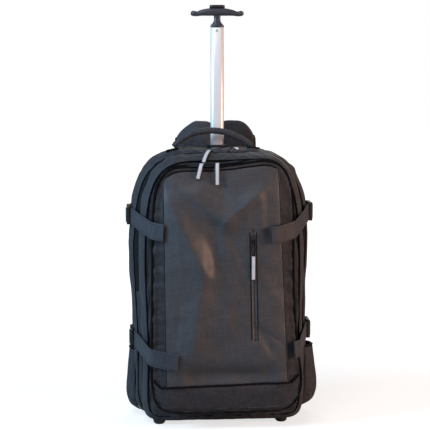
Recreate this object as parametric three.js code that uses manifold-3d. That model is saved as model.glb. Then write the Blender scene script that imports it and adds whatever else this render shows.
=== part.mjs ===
// A wheeled backpack standing on its two wheels and two front feet, with its telescopic
// one-post handle pulled out. Millimetres, +Z up, the front faces -Y, +X is the right of
// the front view. The origin is under the middle of the bounding box, on the floor.
import * as THREE from 'three';
import { mergeVertices } from 'three/addons/utils/BufferGeometryUtils.js';
import Module from 'manifold-3d';

const wasm = await Module();
wasm.setup();

// Cloth, webbing and gaps
const gap = 0.35;                 // between neighbouring solids
const seat = 0.6;                 // between a sewn-on piece and the curved cloth under it
const clothWall = 2;              // coated cloth with its foam backing
const panelWall = 1.6;            // smooth cloth sewn over the pocket
const webbingWidth = 32;
const webbingWall = 2;
const zipWall = 1.6;

// Main compartment
const underside = 6;              // height of the cloth underside above the floor
const bodyTop = 517;
const bodyHalfWidth = 170;
const backY = 72;                 // outside of the back wall
const mainZipY = -12;             // middle of the main zip
const mainZipWidth = 12;
const mainHalfWidth = 152;        // front half of the main compartment
const mainTop = 511;
const mainFrontY = -63;           // its front wall, behind the front pocket
const rearCorner = 16;            // rounding of the edge round the back wall
const mainCorner = 20;            // rounding of the edge round the front wall

// Front pocket
const pocketHalfWidth = 131;
const pocketBottom = 34;
const pocketTop = 497;
const pocketZipWidth = 8;
const pocketEdgeY = -98;          // where the gusset turns into the front face
const faceBulge = 17;             // how far the stuffed face stands out from that edge

// Telescopic handle
const tubeWidth = 25.5;
const tubeDepth = 17;
const tubeWall = 1.4;
const tubeY = 41;
const tubeTop = 744;
const tubeInsideLength = 150;     // part of the inner tube kept in the outer tube
const slideGap = 0.5;             // around the inner tube
const gripWidth = 100;
const gripRise = 38;              // top of the grip above the tube
const gripHeight = 15;
const gripDepth = 22;
const buttonWidth = 29;
const buttonRise = 4.5;

// Wheels and feet
const wheelRadius = 27;
const wheelWidth = 20;
const wheelInset = 42;            // middle of a wheel from the side of the bag
const wheelX = bodyHalfWidth - wheelInset;
const wheelY = 60;
const axleRadius = 4;
const wheelGap = 3;               // between the tyre and its housing
const housingWall = 3;
const footRadius = 12;
const footInset = 36;             // middle of a foot from the side of the front half
const footY = -46;
const footRise = 14;              // before it is trimmed to the cloth

// Harness and grab handle
const backPadDepth = 14;
const backPadEdge = 0.25;         // thickness of its edge, as a share of its depth
const backPadHalfWidth = 118;
const backPadBottom = 80;
const backPadTop = 497;
const strapFootZ = 205;           // lower end of each padded strap
const strapWidth = 66;
const strapDepth = 13;
const strapGap = 12;              // arm room between the strap and the back pad
const humpTop = 565;              // top of the straps' bend over the bag
const grabRadius = 6;
const grabHalfSpan = 75;
const grabTop = 556;
const grabMiddle = -10;           // its middle, left of the bag's
const grabY = 17;

const ringSteps = 40;             // points round a cloth outline

// Outlines seen from the front. Each row of sides holds the height, as a share of the
// outline, and the half widths to the left and right there, as shares of halfWidth. Each row
// of lifts holds the place across, as a share of halfWidth, and how far the top line lies
// above the plain outline there, as a share of the height.
const rearOutline = {
  halfWidth: bodyHalfWidth, bottom: underside, top: bodyTop, upperPower: 4, lowerPower: 9,
  sides: [
    { up: 0, left: 0.965, right: 0.975 },
    { up: 0.2, left: 0.955, right: 0.99 },
    { up: 0.34, left: 0.955, right: 1 },
    { up: 0.5, left: 0.985, right: 1 },
    { up: 0.64, left: 1, right: 1.025 },
    { up: 0.74, left: 0.99, right: 1.025 },
    { up: 1, left: 1, right: 1 },
  ],
  lifts: [{ across: -1, lift: 0 }],
};
const mainOutline = {
  halfWidth: mainHalfWidth, bottom: underside, top: mainTop, upperPower: 4.6, lowerPower: 9,
  sides: [
    { up: 0, left: 0.99, right: 1.06 },
    { up: 0.2, left: 0.97, right: 1.05 },
    { up: 0.35, left: 0.97, right: 1.03 },
    { up: 0.6, left: 1, right: 1.04 },
    { up: 1, left: 0.98, right: 1 },
  ],
  lifts: [{ across: 0, lift: 0 }, { across: 0.6, lift: 0.008 }],
};
const pocketOutline = {
  halfWidth: pocketHalfWidth, bottom: pocketBottom, top: pocketTop, upperPower: 6, lowerPower: 8,
  sides: [
    { up: 0, left: 1.02, right: 1.13 },
    { up: 0.12, left: 1.01, right: 1.14 },
    { up: 0.3, left: 0.99, right: 1.05 },
    { up: 0.55, left: 0.98, right: 1 },
    { up: 1, left: 0.96, right: 1 },
  ],
  lifts: [
    { across: -1, lift: 0 },
    { across: -0.35, lift: -0.012 },
    { across: 0.1, lift: -0.006 },
    { across: 0.6, lift: 0.016 },
    { across: 1, lift: 0.018 },
  ],
};

// Folds of the front face. Each row holds the two ends across (share of pocketHalfWidth) and
// up (share of bodyTop), the half width (share of pocketHalfWidth) and the height outwards
// (share of faceBulge); a negative height is a valley.
const faceFolds = [
  { x0: -0.75, z0: 0.83, x1: -0.28, z1: 0.59, width: 0.17, height: 0.34 },
  { x0: -0.28, z0: 0.59, x1: -0.42, z1: 0.27, width: 0.20, height: 0.30 },
  { x0: -0.34, z0: 0.86, x1: 0.03, z1: 0.765, width: 0.14, height: 0.28 },
  { x0: 0.03, z0: 0.765, x1: 0.42, z1: 0.85, width: 0.14, height: 0.26 },
  { x0: -0.10, z0: 0.74, x1: -0.12, z1: 0.60, width: 0.11, height: -0.30 },
  { x0: -0.18, z0: 0.96, x1: 0.0, z1: 0.88, width: 0.11, height: -0.26 },
  { x0: -0.40, z0: 0.205, x1: 0.60, z1: 0.195, width: 0.14, height: -0.42 },
  { x0: 0.52, z0: 0.37, x1: 0.70, z1: 0.29, width: 0.07, height: -0.18 },
];

// Colours, roughness and metalness from the object
const finishes = {
  cloth: { color: 0x2e313a, roughness: 0.85, metalness: 0 },
  panel: { color: 0x3d4550, roughness: 0.6, metalness: 0 },
  webbing: { color: 0x3b3f46, roughness: 0.9, metalness: 0 },
  zip: { color: 0x0c0c0f, roughness: 0.8, metalness: 0 },
  pull: { color: 0xc8cdd1, roughness: 0.5, metalness: 0 },
  plastic: { color: 0x3b414c, roughness: 0.45, metalness: 0 },
  blackPlastic: { color: 0x16171a, roughness: 0.5, metalness: 0 },
  aluminium: { color: 0xe0e5e9, roughness: 0.35, metalness: 0.9 },
  tyre: { color: 0x101012, roughness: 0.8, metalness: 0 },
};

const model = new THREE.Group();

function addPart(name, geometry, finish) {
  const mesh = new THREE.Mesh(geometry, new THREE.MeshStandardMaterial(finishes[finish]));
  mesh.name = name;
  model.add(mesh);
  return mesh;
}

// Geometry helpers

const mix = (a, b, share) => a + (b - a) * share;

// Value of a table's column where its first column, named by along, reaches a place, with
// straight lines between the rows.
function tableValue(rows, along, place, column) {
  const next = rows.findIndex((row) => row[along] >= place);
  if (next < 0) return rows[rows.length - 1][column];
  if (next === 0) return rows[0][column];
  const [start, end] = [rows[next - 1], rows[next]];
  return mix(start[column], end[column], (place - start[along]) / (end[along] - start[along]));
}

// Turns vertices and faces into a geometry whose faces point outwards.
function solidGeometry(points, faces) {
  let volume = 0;
  for (const [a, b, c] of faces) {
    volume += points[a].dot(new THREE.Vector3().crossVectors(points[b], points[c]));
  }
  const index = faces.flatMap(([a, b, c]) => (volume < 0 ? [a, c, b] : [a, b, c]));
  const geometry = new THREE.BufferGeometry().setFromPoints(points);
  geometry.setIndex(index);
  return geometry;
}

// Solid through a row of closed sections with the same number of points. The ends are
// closed with a fan to their middle.
function loft(sections) {
  const count = sections[0].length;
  const points = sections.flat().map((p) => p.clone());
  const faces = [];
  for (let i = 0; i + 1 < sections.length; i++) {
    for (let j = 0; j < count; j++) {
      const k = (j + 1) % count;
      const [a, b, c, d] = [i * count + j, i * count + k, (i + 1) * count + k, (i + 1) * count + j];
      faces.push([a, b, c], [a, c, d]);
    }
  }
  for (const end of [0, sections.length - 1]) {
    const middle = new THREE.Vector3();
    sections[end].forEach((p) => middle.addScaledVector(p, 1 / count));
    points.push(middle);
    for (let j = 0; j < count; j++) {
      const [a, b] = [end * count + j, end * count + ((j + 1) % count)];
      faces.push(end === 0 ? [b, a, points.length - 1] : [a, b, points.length - 1]);
    }
  }
  return solidGeometry(points, faces);
}

// Solid sheet between two grids of points, front[i][j] and back[i][j], closed along its
// four borders.
function sheet(front, back) {
  const [columns, rows] = [front.length, front[0].length];
  const points = [...front.flat(), ...back.flat()];
  const other = columns * rows;
  const faces = [];
  const at = (i, j) => i * rows + j;
  for (let i = 0; i + 1 < columns; i++) {
    for (let j = 0; j + 1 < rows; j++) {
      const [a, b, c, d] = [at(i, j), at(i + 1, j), at(i + 1, j + 1), at(i, j + 1)];
      faces.push([a, b, c], [a, c, d]);
      faces.push([a + other, c + other, b + other], [a + other, d + other, c + other]);
    }
  }
  const border = [];
  for (let i = 0; i < columns - 1; i++) border.push(at(i, 0));
  for (let j = 0; j < rows - 1; j++) border.push(at(columns - 1, j));
  for (let i = columns - 1; i > 0; i--) border.push(at(i, rows - 1));
  for (let j = rows - 1; j > 0; j--) border.push(at(0, j));
  border.forEach((a, n) => {
    const b = border[(n + 1) % border.length];
    faces.push([a, a + other, b + other], [a, b + other, b]);
  });
  return solidGeometry(points, faces);
}

function manifoldOf(geometry) {
  const bare = new THREE.BufferGeometry();
  bare.setAttribute('position', geometry.getAttribute('position').clone());
  if (geometry.index) bare.setIndex(geometry.index.clone());
  const merged = mergeVertices(bare, 1e-4);
  return new wasm.Manifold(new wasm.Mesh({
    numProp: 3,
    vertProperties: new Float32Array(merged.getAttribute('position').array),
    triVerts: new Uint32Array(merged.index.array),
  }));
}

function geometryOf(manifold) {
  const { vertProperties, triVerts } = manifold.getMesh();
  const geometry = new THREE.BufferGeometry();
  geometry.setAttribute('position', new THREE.BufferAttribute(vertProperties, 3));
  geometry.setIndex(new THREE.BufferAttribute(triVerts, 1));
  return geometry;
}

function cut(geometry, ...tools) {
  return geometryOf(tools.reduce((left, tool) => left.subtract(manifoldOf(tool)), manifoldOf(geometry)));
}

function join(geometry, ...others) {
  return geometryOf(others.reduce((sum, other) => sum.add(manifoldOf(other)), manifoldOf(geometry)));
}

function box(low, high) {
  const size = new THREE.Vector3().subVectors(high, low);
  const geometry = new THREE.BoxGeometry(size.x, size.y, size.z);
  return geometry.translate((low.x + high.x) / 2, (low.y + high.y) / 2, (low.z + high.z) / 2);
}

const at = (x, y, z) => new THREE.Vector3(x, y, z);

// Outline of one cloth section seen from the front, as a ring of points at one depth. It is a
// rounded box: two powers give the corners, and the table of sides gives the waist.
function outlinePoint(outline, angle, inset, y) {
  const { halfWidth, bottom, top, upperPower, lowerPower, sides, lifts } = outline;
  const [c, s] = [Math.cos(angle), Math.sin(angle)];
  const power = 2 / (s > 0 ? upperPower : lowerPower);
  const across = Math.sign(c) * Math.abs(c) ** power;
  const up = Math.sign(s) * Math.abs(s) ** power;
  const halfHeight = (top - bottom) / 2;
  const side = tableValue(sides, 'up', (up + 1) / 2, c > 0 ? 'right' : 'left');
  const raise = Math.max(0, up) * tableValue(lifts, 'across', across, 'lift') * (top - bottom);
  const z = (top + bottom) / 2 + up * (halfHeight - inset) + raise;
  return at(across * (halfWidth * side - inset), y, z);
}

function ring(outline, inset, y) {
  const dense = [];
  const denseSteps = 240;
  for (let i = 0; i < denseSteps; i++) {
    const angle = -Math.PI / 2 + (2 * Math.PI * (i + 0.5)) / denseSteps;
    dense.push(outlinePoint(outline, angle, inset, y));
  }
  const curve = new THREE.CatmullRomCurve3(dense, true);
  curve.arcLengthDivisions = 4 * denseSteps;
  return curve.getSpacedPoints(ringSteps).slice(0, ringSteps);
}

// Shell open on one side: the rows give depth and inset from the open rim to the closed
// wall, and wall is the cloth's thickness.
function shell(outline, rows, wall) {
  const direction = Math.sign(rows[0].y - rows[rows.length - 1].y);
  const outer = rows.map(({ y, inset }) => ring(outline, inset, y));
  const inner = rows.map(({ y, inset }, i) => {
    const last = i === rows.length - 1;
    return ring(outline, inset + wall, last ? y + direction * wall : y);
  });
  return loft([...inner.reverse(), ...outer]);
}

// Band between two rims over part of the way round, such as a zip. Each rim is a ring of
// the outer side and one of the inner side; the shares start under the middle, to the right.
function band(rims, startShare, endShare) {
  const first = Math.round(startShare * ringSteps);
  const last = Math.round(endShare * ringSteps);
  const sections = [];
  for (let i = first; i <= last; i++) {
    const k = i % ringSteps;
    sections.push([...rims.map(([outer]) => outer[k]), ...rims.map(([, inner]) => inner[k]).reverse()]);
  }
  const trim = (from, to) => from.map((p, j) => {
    const step = new THREE.Vector3().subVectors(to[j], p);
    return p.clone().addScaledVector(step, gap / step.length());
  });
  sections[0] = trim(sections[0], sections[1]);
  const end = sections.length - 1;
  sections[end] = trim(sections[end], sections[end - 1]);
  return loft(sections);
}

// Flat strap along a smooth line, with its width turned as near to the lead as it can be.
function ribbon(points, lead, width, wall, steps) {
  const curve = new THREE.CatmullRomCurve3(points);
  const sections = [];
  for (let i = 0; i <= steps; i++) {
    const along = curve.getTangentAt(i / steps);
    const across = lead.clone().addScaledVector(along, -lead.dot(along)).normalize();
    const out = new THREE.Vector3().crossVectors(along, across).multiplyScalar(wall / 2);
    across.multiplyScalar(width / 2);
    const middle = curve.getPointAt(i / steps);
    sections.push([[1, 1], [1, -1], [-1, -1], [-1, 1]].map(([a, b]) => (
      middle.clone().addScaledVector(across, a).addScaledVector(out, b))));
  }
  return loft(sections);
}

// Front face of the pocket

// How far from the middle of the pocket a place lies: 0 in the middle, 1 on its edge.
function pocketShare(x, z) {
  const { halfWidth, bottom, top, upperPower, lowerPower, sides, lifts } = pocketOutline;
  const height = Math.min(1, Math.max(0, (z - bottom) / (top - bottom)));
  const across = x / (halfWidth * tableValue(sides, 'up', height, x > 0 ? 'right' : 'left'));
  const raise = tableValue(lifts, 'across', x / halfWidth, 'lift') * (top - bottom);
  const middle = (top + bottom) / 2;
  const up = z > middle ? (z - middle) / (top + raise - middle) : (z - middle) / (middle - bottom);
  const power = up > 0 ? upperPower : lowerPower;
  return (Math.abs(across) ** power + Math.abs(up) ** power) ** (1 / power);
}

function foldHeight(fold, x, z) {
  const [x0, x1] = [fold.x0 * pocketHalfWidth, fold.x1 * pocketHalfWidth];
  const [z0, z1] = [fold.z0 * bodyTop, fold.z1 * bodyTop];
  const lengthSquared = (x1 - x0) ** 2 + (z1 - z0) ** 2;
  const along = ((x - x0) * (x1 - x0) + (z - z0) * (z1 - z0)) / lengthSquared;
  const share = Math.min(1, Math.max(0, along));
  const distance = Math.hypot(x - x0 - share * (x1 - x0), z - z0 - share * (z1 - z0));
  return fold.height * faceBulge * Math.exp(-((distance / (fold.width * pocketHalfWidth)) ** 2));
}

// Depth of the pocket's cloth at a place: a crowned face that falls off at the edge, with
// the folds fading out towards the edge.
function faceY(x, z) {
  const share = Math.min(1, pocketShare(x, z));
  const crown = faceBulge * (1 - share ** 4);
  const fade = 1 - share ** 8;
  const folds = faceFolds.reduce((sum, fold) => sum + foldHeight(fold, x, z), 0);
  return pocketEdgeY - crown - folds * fade;
}

function pocketShell() {
  const rearY = mainFrontY - gap - pocketZipWidth - gap;
  const faceRings = [1, 0.97, 0.88, 0.7, 0.4];
  const middle = at(0, 0, (pocketTop + pocketBottom) / 2);
  const faceRing = (scale, wall) => ring(pocketOutline, wall, 0).map((p) => {
    const x = p.x * scale;
    const z = middle.z + (p.z - middle.z) * scale;
    return at(x, faceY(x, z) + wall, z);
  });
  const side = (wall) => [rearY, (rearY + pocketEdgeY) / 2].map((y) => ring(pocketOutline, wall, y));
  const outer = [...side(0), ...faceRings.map((scale) => faceRing(scale, 0))];
  const inner = [...side(clothWall), ...faceRings.map((scale) => faceRing(scale, clothWall))];
  return loft([...inner.reverse(), ...outer]);
}

// Sheet that follows the pocket's face: place gives x and z from the shares across and up.
function faceSheet(columns, rows, place) {
  const grid = (depth) => {
    const points = [];
    for (let i = 0; i <= columns; i++) {
      points.push([]);
      for (let j = 0; j <= rows; j++) {
        const [x, z] = place(i / columns, j / rows);
        points[i].push(at(x, faceY(x, z) + depth, z));
      }
    }
    return points;
  };
  return sheet(grid(0), grid(panelWall));
}

// Block that cuts the window in the pocket's face that such a sheet fills.
function faceWindow(columns, rows, place) {
  const border = [];
  for (let i = 0; i < columns; i++) border.push([i / columns, 0]);
  for (let j = 0; j < rows; j++) border.push([1, j / rows]);
  for (let i = columns; i > 0; i--) border.push([i / columns, 1]);
  for (let j = rows; j > 0; j--) border.push([0, j / rows]);
  const outline = border.map(([u, v]) => new THREE.Vector2(...place(u, v)));
  const shape = new THREE.Shape(outline.map((p, i) => {
    const before = outline[(i + outline.length - 1) % outline.length];
    const after = outline[(i + 1) % outline.length];
    const edge = new THREE.Vector2(p.y - before.y, before.x - p.x).normalize();
    const next = new THREE.Vector2(after.y - p.y, p.x - after.x).normalize();
    const corner = edge.clone().add(next).divideScalar(1 + edge.dot(next));
    return p.clone().addScaledVector(corner, gap);
  }));
  const depth = 3 * faceBulge;
  const block = new THREE.ExtrudeGeometry(shape, { depth, bevelEnabled: false });
  return block.rotateX(Math.PI / 2).translate(0, pocketEdgeY + faceBulge / 2, 0);
}

// Corners of the smooth front panel, as shares of pocketHalfWidth and bodyTop
const panelLeft = { bottom: -0.80, top: -0.83 };
const panelRight = { bottom: 0.93, top: 0.77 };
const panelBottom = { left: 0.163, right: 0.175 };
const panelTop = { left: 0.948, right: 0.962 };
const faceMargin = 0.965;         // share of the outline that the sewn-in panels reach
const lowerPanelSides = { left: -0.98, right: 1.09 };
const panelSlant = 0.024;         // rise of the lower panel's upper corners, share of bodyTop
const panelSag = 0.012;           // sag of its top edge, share of bodyTop

// Draws a place of the face towards the middle where it would pass the margin at the edge.
function insideFace(x, z) {
  const middle = (pocketTop + pocketBottom) / 2;
  const scale = Math.min(1, faceMargin / pocketShare(x, z));
  return [x * scale, middle + (z - middle) * scale];
}

// Height of the seam between the front panel and the lower panel.
function panelFoot(x) {
  const share = (x / pocketHalfWidth - panelLeft.bottom) / (panelRight.bottom - panelLeft.bottom);
  return bodyTop * mix(panelBottom.left, panelBottom.right, share);
}

function panelPlace(u, v) {
  const x = pocketHalfWidth * mix(mix(panelLeft.bottom, panelLeft.top, v),
    mix(panelRight.bottom, panelRight.top, v), u);
  const top = mix(panelTop.left, panelTop.right, u) - panelSag * Math.sin(Math.PI * u);
  return insideFace(x, mix(panelFoot(x), bodyTop * top, v));
}

function lowerPanelPlace(u, v) {
  const side = 2 * u - 1;
  const x = pocketHalfWidth * mix(lowerPanelSides.left, lowerPanelSides.right, u);
  const slant = panelSlant * bodyTop * Math.max(0, (Math.abs(side) - 0.9) / 0.1);
  return insideFace(x, mix(pocketBottom, panelFoot(x) + slant - gap, v));
}

// Upright zip in the front panel: its middle line and its ends
const panelZipX = { bottom: 0.45, top: 0.41 };    // shares of pocketHalfWidth
const panelZipZ = { bottom: 0.335, top: 0.75 };   // shares of bodyTop
const panelZipWidth = 15;

function panelZipPlace(u, v) {
  const x = pocketHalfWidth * mix(panelZipX.bottom, panelZipX.top, v);
  return [x + panelZipWidth * (u - 0.5), bodyTop * mix(panelZipZ.bottom, panelZipZ.top, v)];
}

const panelGrid = [12, 15, panelPlace];
const lowerGrid = [18, 3, lowerPanelPlace];
const panelZipGrid = [2, 9, panelZipPlace];
const pocket = cut(pocketShell(), faceWindow(...panelGrid), faceWindow(...lowerGrid));
addPart('pocket_shell', pocket, 'cloth');
addPart('front_panel', cut(faceSheet(...panelGrid), faceWindow(...panelZipGrid)), 'panel');
addPart('lower_panel', faceSheet(...lowerGrid), 'cloth');
addPart('panel_zip', faceSheet(...panelZipGrid), 'zip');

// Main compartment

const rearRimY = mainZipY + mainZipWidth / 2;
const mainRimY = mainZipY - mainZipWidth / 2;
const housingHalfWidth = wheelWidth / 2 + wheelGap + housingWall;
const housingTop = 2 * wheelRadius + wheelGap + housingWall;
const housingFrontY = wheelY - wheelRadius - wheelGap - housingWall;
const housingRearY = backY + backPadDepth + 2;

// Oval post with rounded ends, as an outline for the tube and everything that fits it.
function tubeOutline(margin) {
  const [halfWidth, radius] = [tubeWidth / 2 + margin, tubeDepth / 2 + margin];
  const flat = halfWidth - radius;
  const shape = new THREE.Shape();
  shape.absarc(flat, 0, radius, -Math.PI / 2, Math.PI / 2);
  shape.absarc(-flat, 0, radius, Math.PI / 2, (3 * Math.PI) / 2);
  shape.closePath();
  return shape;
}

function upright(shape, low, high, curveSegments = 4) {
  const options = { depth: high - low, bevelEnabled: false, curveSegments };
  return new THREE.ExtrudeGeometry(shape, options).translate(0, tubeY, low);
}

const outerMargin = slideGap + tubeWall;
const outerTubeTop = bodyTop - clothWall - gap;
const outerTubeBottom = underside + clothWall + gap;

const zipRecess = 1;              // how far a zip lies under the cloth beside it

// Sections of the two halves of the main compartment from the rim to the closed wall: depth
// is a share of the way, and inset a share of the corner's rounding.
const rearSections = [
  { depth: 0, inset: 0.5 },
  { depth: 0.13, inset: 0.12 },
  { depth: 0.38, inset: 0 },
  { depth: 0.74, inset: 0 },
  { depth: 0.92, inset: 0.31 },
  { depth: 1, inset: 1 },
];
const mainSections = [
  { depth: 0, inset: 0.15 },
  { depth: 0.18, inset: 0 },
  { depth: 0.58, inset: 0.1 },
  { depth: 0.84, inset: 0.35 },
  { depth: 0.967, inset: 0.65 },
  { depth: 1, inset: 1 },
];

const placed = (sections, rimY, wallY, corner) => sections.map(({ depth, inset }) => (
  { y: mix(rimY, wallY, depth), inset: inset * corner }));
const rearRows = placed(rearSections, rearRimY, backY, rearCorner);
const mainRows = placed(mainSections, mainRimY, mainFrontY, mainCorner);

function rearShell() {
  const tub = shell(rearOutline, rearRows, clothWall);
  const tubeHole = upright(tubeOutline(slideGap), bodyTop - rearCorner, bodyTop + gap);
  const housings = [-1, 1].map((side) => box(
    at(side * wheelX - housingHalfWidth - gap, housingFrontY - gap, -1),
    at(side * wheelX + housingHalfWidth + gap, housingRearY, housingTop + gap)));
  return cut(tub, tubeHole, ...housings);
}

// The outside of one half grown by the gap, which trims whatever is seated on it.
function seatBlock(outline, rows) {
  return loft(rows.map(({ y, inset }) => ring(outline, inset - gap, y)));
}

addPart('rear_shell', rearShell(), 'cloth');
addPart('main_shell', shell(mainOutline, mainRows, clothWall), 'cloth');

// Zips: each is an arch over the top, and a plain gusset closes the ring below it.
const mainZipShares = [0.25, 0.75];
const pocketZipShares = [0.143, 0.857];

function rim(outline, inset, y) {
  return [ring(outline, inset, y), ring(outline, inset + zipWall, y)];
}

function ringBand(rims, shares, zipName, gussetName) {
  addPart(zipName, band(rims, shares[0], shares[1]), 'zip');
  addPart(gussetName, band(rims, shares[1], 1 + shares[0]), 'cloth');
}

const mainRims = [rim(rearOutline, rearRows[0].inset + zipRecess, rearRimY - gap),
  rim(mainOutline, mainRows[0].inset + zipRecess, mainRimY + gap)];
ringBand(mainRims, mainZipShares, 'main_zip', 'main_gusset');
const pocketRims = [mainFrontY - gap, mainFrontY - gap - pocketZipWidth].map((y) => (
  rim(pocketOutline, zipRecess, y)));
ringBand(pocketRims, pocketZipShares, 'pocket_zip', 'pocket_gusset');

// Side pockets: a pouch on each side, open at the top, sewn on along its two upright edges
// and its foot. Each row holds the height, as a share of the pouch's, and how far the pouch
// stands out there, as a share of its bulge.
const pouchRows = [
  { up: 0, out: 0.12 },
  { up: 0.08, out: 0.55 },
  { up: 0.22, out: 0.95 },
  { up: 0.4, out: 1 },
  { up: 0.7, out: 0.78 },
  { up: 1, out: 0.56 },
];
const pouchBottom = 18;
const pouchTop = 134;
const pouchFrontY = 4;
const pouchRearY = 52;
const pouchBulge = { left: 17, right: 30 };
const pouchSteps = 8;
const pouchLevels = 7;

// Half width of an outline at a height.
function outlineX(outline, side, z) {
  const { halfWidth, bottom, top, lowerPower, upperPower, sides } = outline;
  const up = (2 * z - top - bottom) / (top - bottom);
  const power = up > 0 ? upperPower : lowerPower;
  const width = (1 - Math.abs(up) ** power) ** (1 / power);
  return width * halfWidth * tableValue(sides, 'up', (up + 1) / 2, side > 0 ? 'right' : 'left');
}

// Half width of the bag's side at a depth and height.
function sideX(side, y, z) {
  const station = (outline) => (row) => ({ y: row.y, x: outlineX(outline, side, z) - row.inset });
  const front = mainRows.slice(0, -2).reverse().map(station(mainOutline));
  const stations = [...front, ...rearRows.map(station(rearOutline))];
  return y < mainFrontY ? outlineX(pocketOutline, side, z) : tableValue(stations, 'y', y, 'x');
}

function sidePocket(side) {
  const bulge = side > 0 ? pouchBulge.right : pouchBulge.left;
  const rows = [];
  for (let j = 0; j <= pouchLevels; j++) rows.push(j / pouchLevels);
  const grid = (wall) => {
    const points = [];
    for (let i = 0; i <= pouchSteps; i++) {
      const share = i / pouchSteps;
      const swell = Math.sin(Math.PI * share) ** 0.55;
      points.push(rows.map((height) => {
        const z = mix(pouchBottom, pouchTop, height);
        const reach = bulge * swell * tableValue(pouchRows, 'up', height, 'out');
        const out = wall - seat + Math.max(0, reach - clothWall);
        return at(side * (outlineX(rearOutline, side, z) + out), mix(pouchFrontY, pouchRearY, share), z);
      }));
    }
    return points;
  };
  return cut(sheet(grid(clothWall), grid(0)), seatBlock(rearOutline, rearRows));
}

addPart('side_pocket_left', sidePocket(-1), 'cloth');
addPart('side_pocket_right', sidePocket(1), 'cloth');

// Back pad and harness
const padRearY = backY + gap + backPadDepth;

const padColumns = 8;
const padLevels = 8;

function backPad() {
  const grid = (depth) => {
    const points = [];
    for (let i = 0; i <= padColumns; i++) {
      const across = (2 * i) / padColumns - 1;
      const column = [];
      for (let j = 0; j <= padLevels; j++) {
        const up = (2 * j) / padLevels - 1;
        const edge = (1 - across ** 8) * (1 - up ** 10);
        const channel = 0.45 * Math.exp(-((across / 0.14) ** 2));
        const swell = mix(backPadEdge, 1, edge ** 0.5 * (1 - channel));
        column.push(at(across * backPadHalfWidth, backY + gap + depth * swell,
          mix(backPadBottom, backPadTop, (up + 1) / 2)));
      }
      points.push(column);
    }
    return points;
  };
  return sheet(grid(backPadDepth), grid(0));
}

// Shoulder straps: the middle line of each. Across is a share of strapWidth, depth a share of
// the way from the back pad to the hanging strap, up a share of the way from its lower end to
// the top of the bend.
const strapY = padRearY + strapGap + strapDepth / 2;
const strapInner = 10;            // inner edge of each strap from the middle, at the top
const strapMiddle = strapInner + strapWidth / 2;
const strapSeatUp = (backPadTop + gap - strapFootZ) / (humpTop - strapFootZ);
const strapRows = [
  { across: 0, depth: -0.41, up: strapSeatUp },
  { across: 0, depth: -0.32, up: 0.905 },
  { across: 0, depth: 0.11, up: 0.961 },
  { across: 0, depth: 0.7, up: 0.982 },
  { across: 0, depth: 0.95, up: 0.964 },
  { across: 0, depth: 1, up: 0.889 },
  { across: 0, depth: 1, up: 0.625 },
  { across: 0.18, depth: 1, up: 0.347 },
  { across: 0.39, depth: 1, up: 0.097 },
  { across: 0.515, depth: 0.78, up: 0 },
];
const humpFall = { left: 20, right: 9 };   // drop of the bend's outer corner

const strapPoints = strapRows.map(({ across, depth, up }) => (
  at(across * strapWidth, mix(padRearY, strapY, depth), mix(strapFootZ, humpTop, up))));

function shoulderStrap(side) {
  const fall = side > 0 ? humpFall.right : humpFall.left;
  const curve = new THREE.CatmullRomCurve3(strapPoints);
  const steps = 22;
  const halfColumns = 2;
  const grid = (face) => {
    const points = [];
    for (let i = 0; i <= steps; i++) {
      const middle = curve.getPointAt(i / steps);
      const along = curve.getTangentAt(i / steps);
      const out = new THREE.Vector3().crossVectors(at(1, 0, 0), along).normalize();
      const column = [];
      for (let j = -halfColumns; j <= halfColumns; j++) {
        const across = j / halfColumns;
        const half = (strapDepth / 2) * (0.35 + 0.65 * (1 - across ** 6)) * face;
        const high = Math.max(0, (middle.z - bodyTop) / (humpTop - bodyTop));
        const drop = fall * high * Math.max(0, across) ** 2.5;
        const x = side * (strapMiddle + middle.x + (across * strapWidth) / 2);
        column.push(at(x, middle.y + out.y * half, middle.z + out.z * half - drop));
      }
      points.push(column);
    }
    return points;
  };
  return sheet(grid(1), grid(-1));
}

addPart('back_pad', backPad(), 'cloth');
addPart('shoulder_strap_left', shoulderStrap(-1), 'cloth');
addPart('shoulder_strap_right', shoulderStrap(1), 'cloth');

// Webbing from the foot of each shoulder strap to the lower corner of the back
const strapWebbingWidth = 24;
const strapWebbingDrop = 5;       // its upper end below the strap's
const strapWebbingOut = 16;       // its lower end outside the back pad
const strapWebbingRise = 14;      // and above the wheel housing
const strapWebbingSag = 9;

function strapWebbing(side) {
  const foot = strapPoints[strapPoints.length - 1];
  const start = at(side * (strapMiddle + foot.x + 1), foot.y - 1, foot.z - strapWebbingDrop);
  const end = at(side * (backPadHalfWidth + strapWebbingOut), backY + 2 * seat + webbingWall / 2,
    housingTop + strapWebbingRise);
  const middle = start.clone().lerp(end, 0.55).add(at(0, strapWebbingSag, -strapWebbingSag / 2));
  return ribbon([start, middle, end], at(side, 0, 0.6), strapWebbingWidth, webbingWall, 8);
}

addPart('strap_webbing_left', strapWebbing(-1), 'webbing');
addPart('strap_webbing_right', strapWebbing(1), 'webbing');

// Grab handle: a padded roll. Each row holds the place across, as a share of half its span,
// and the height of its middle line, as a share of its rise above the bag's top.
const grabRows = [
  { across: -1, up: 0.1 },
  { across: -0.86, up: 0.4 },
  { across: -0.53, up: 0.84 },
  { across: -0.2, up: 0.99 },
  { across: 0.07, up: 1 },
  { across: 0.33, up: 0.9 },
  { across: 0.62, up: 0.64 },
  { across: 0.86, up: 0.34 },
  { across: 1, up: 0.1 },
];
const grabEnd = 26;               // flat end that is sewn to the bag
const grabEndWall = 4;

function roundTube(points, radius, sides, steps) {
  const shape = new THREE.Shape();
  shape.absarc(0, 0, radius, 0, 2 * Math.PI);
  const extrudePath = new THREE.CatmullRomCurve3(points);
  return new THREE.ExtrudeGeometry(shape, { steps, curveSegments: sides, extrudePath });
}

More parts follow.
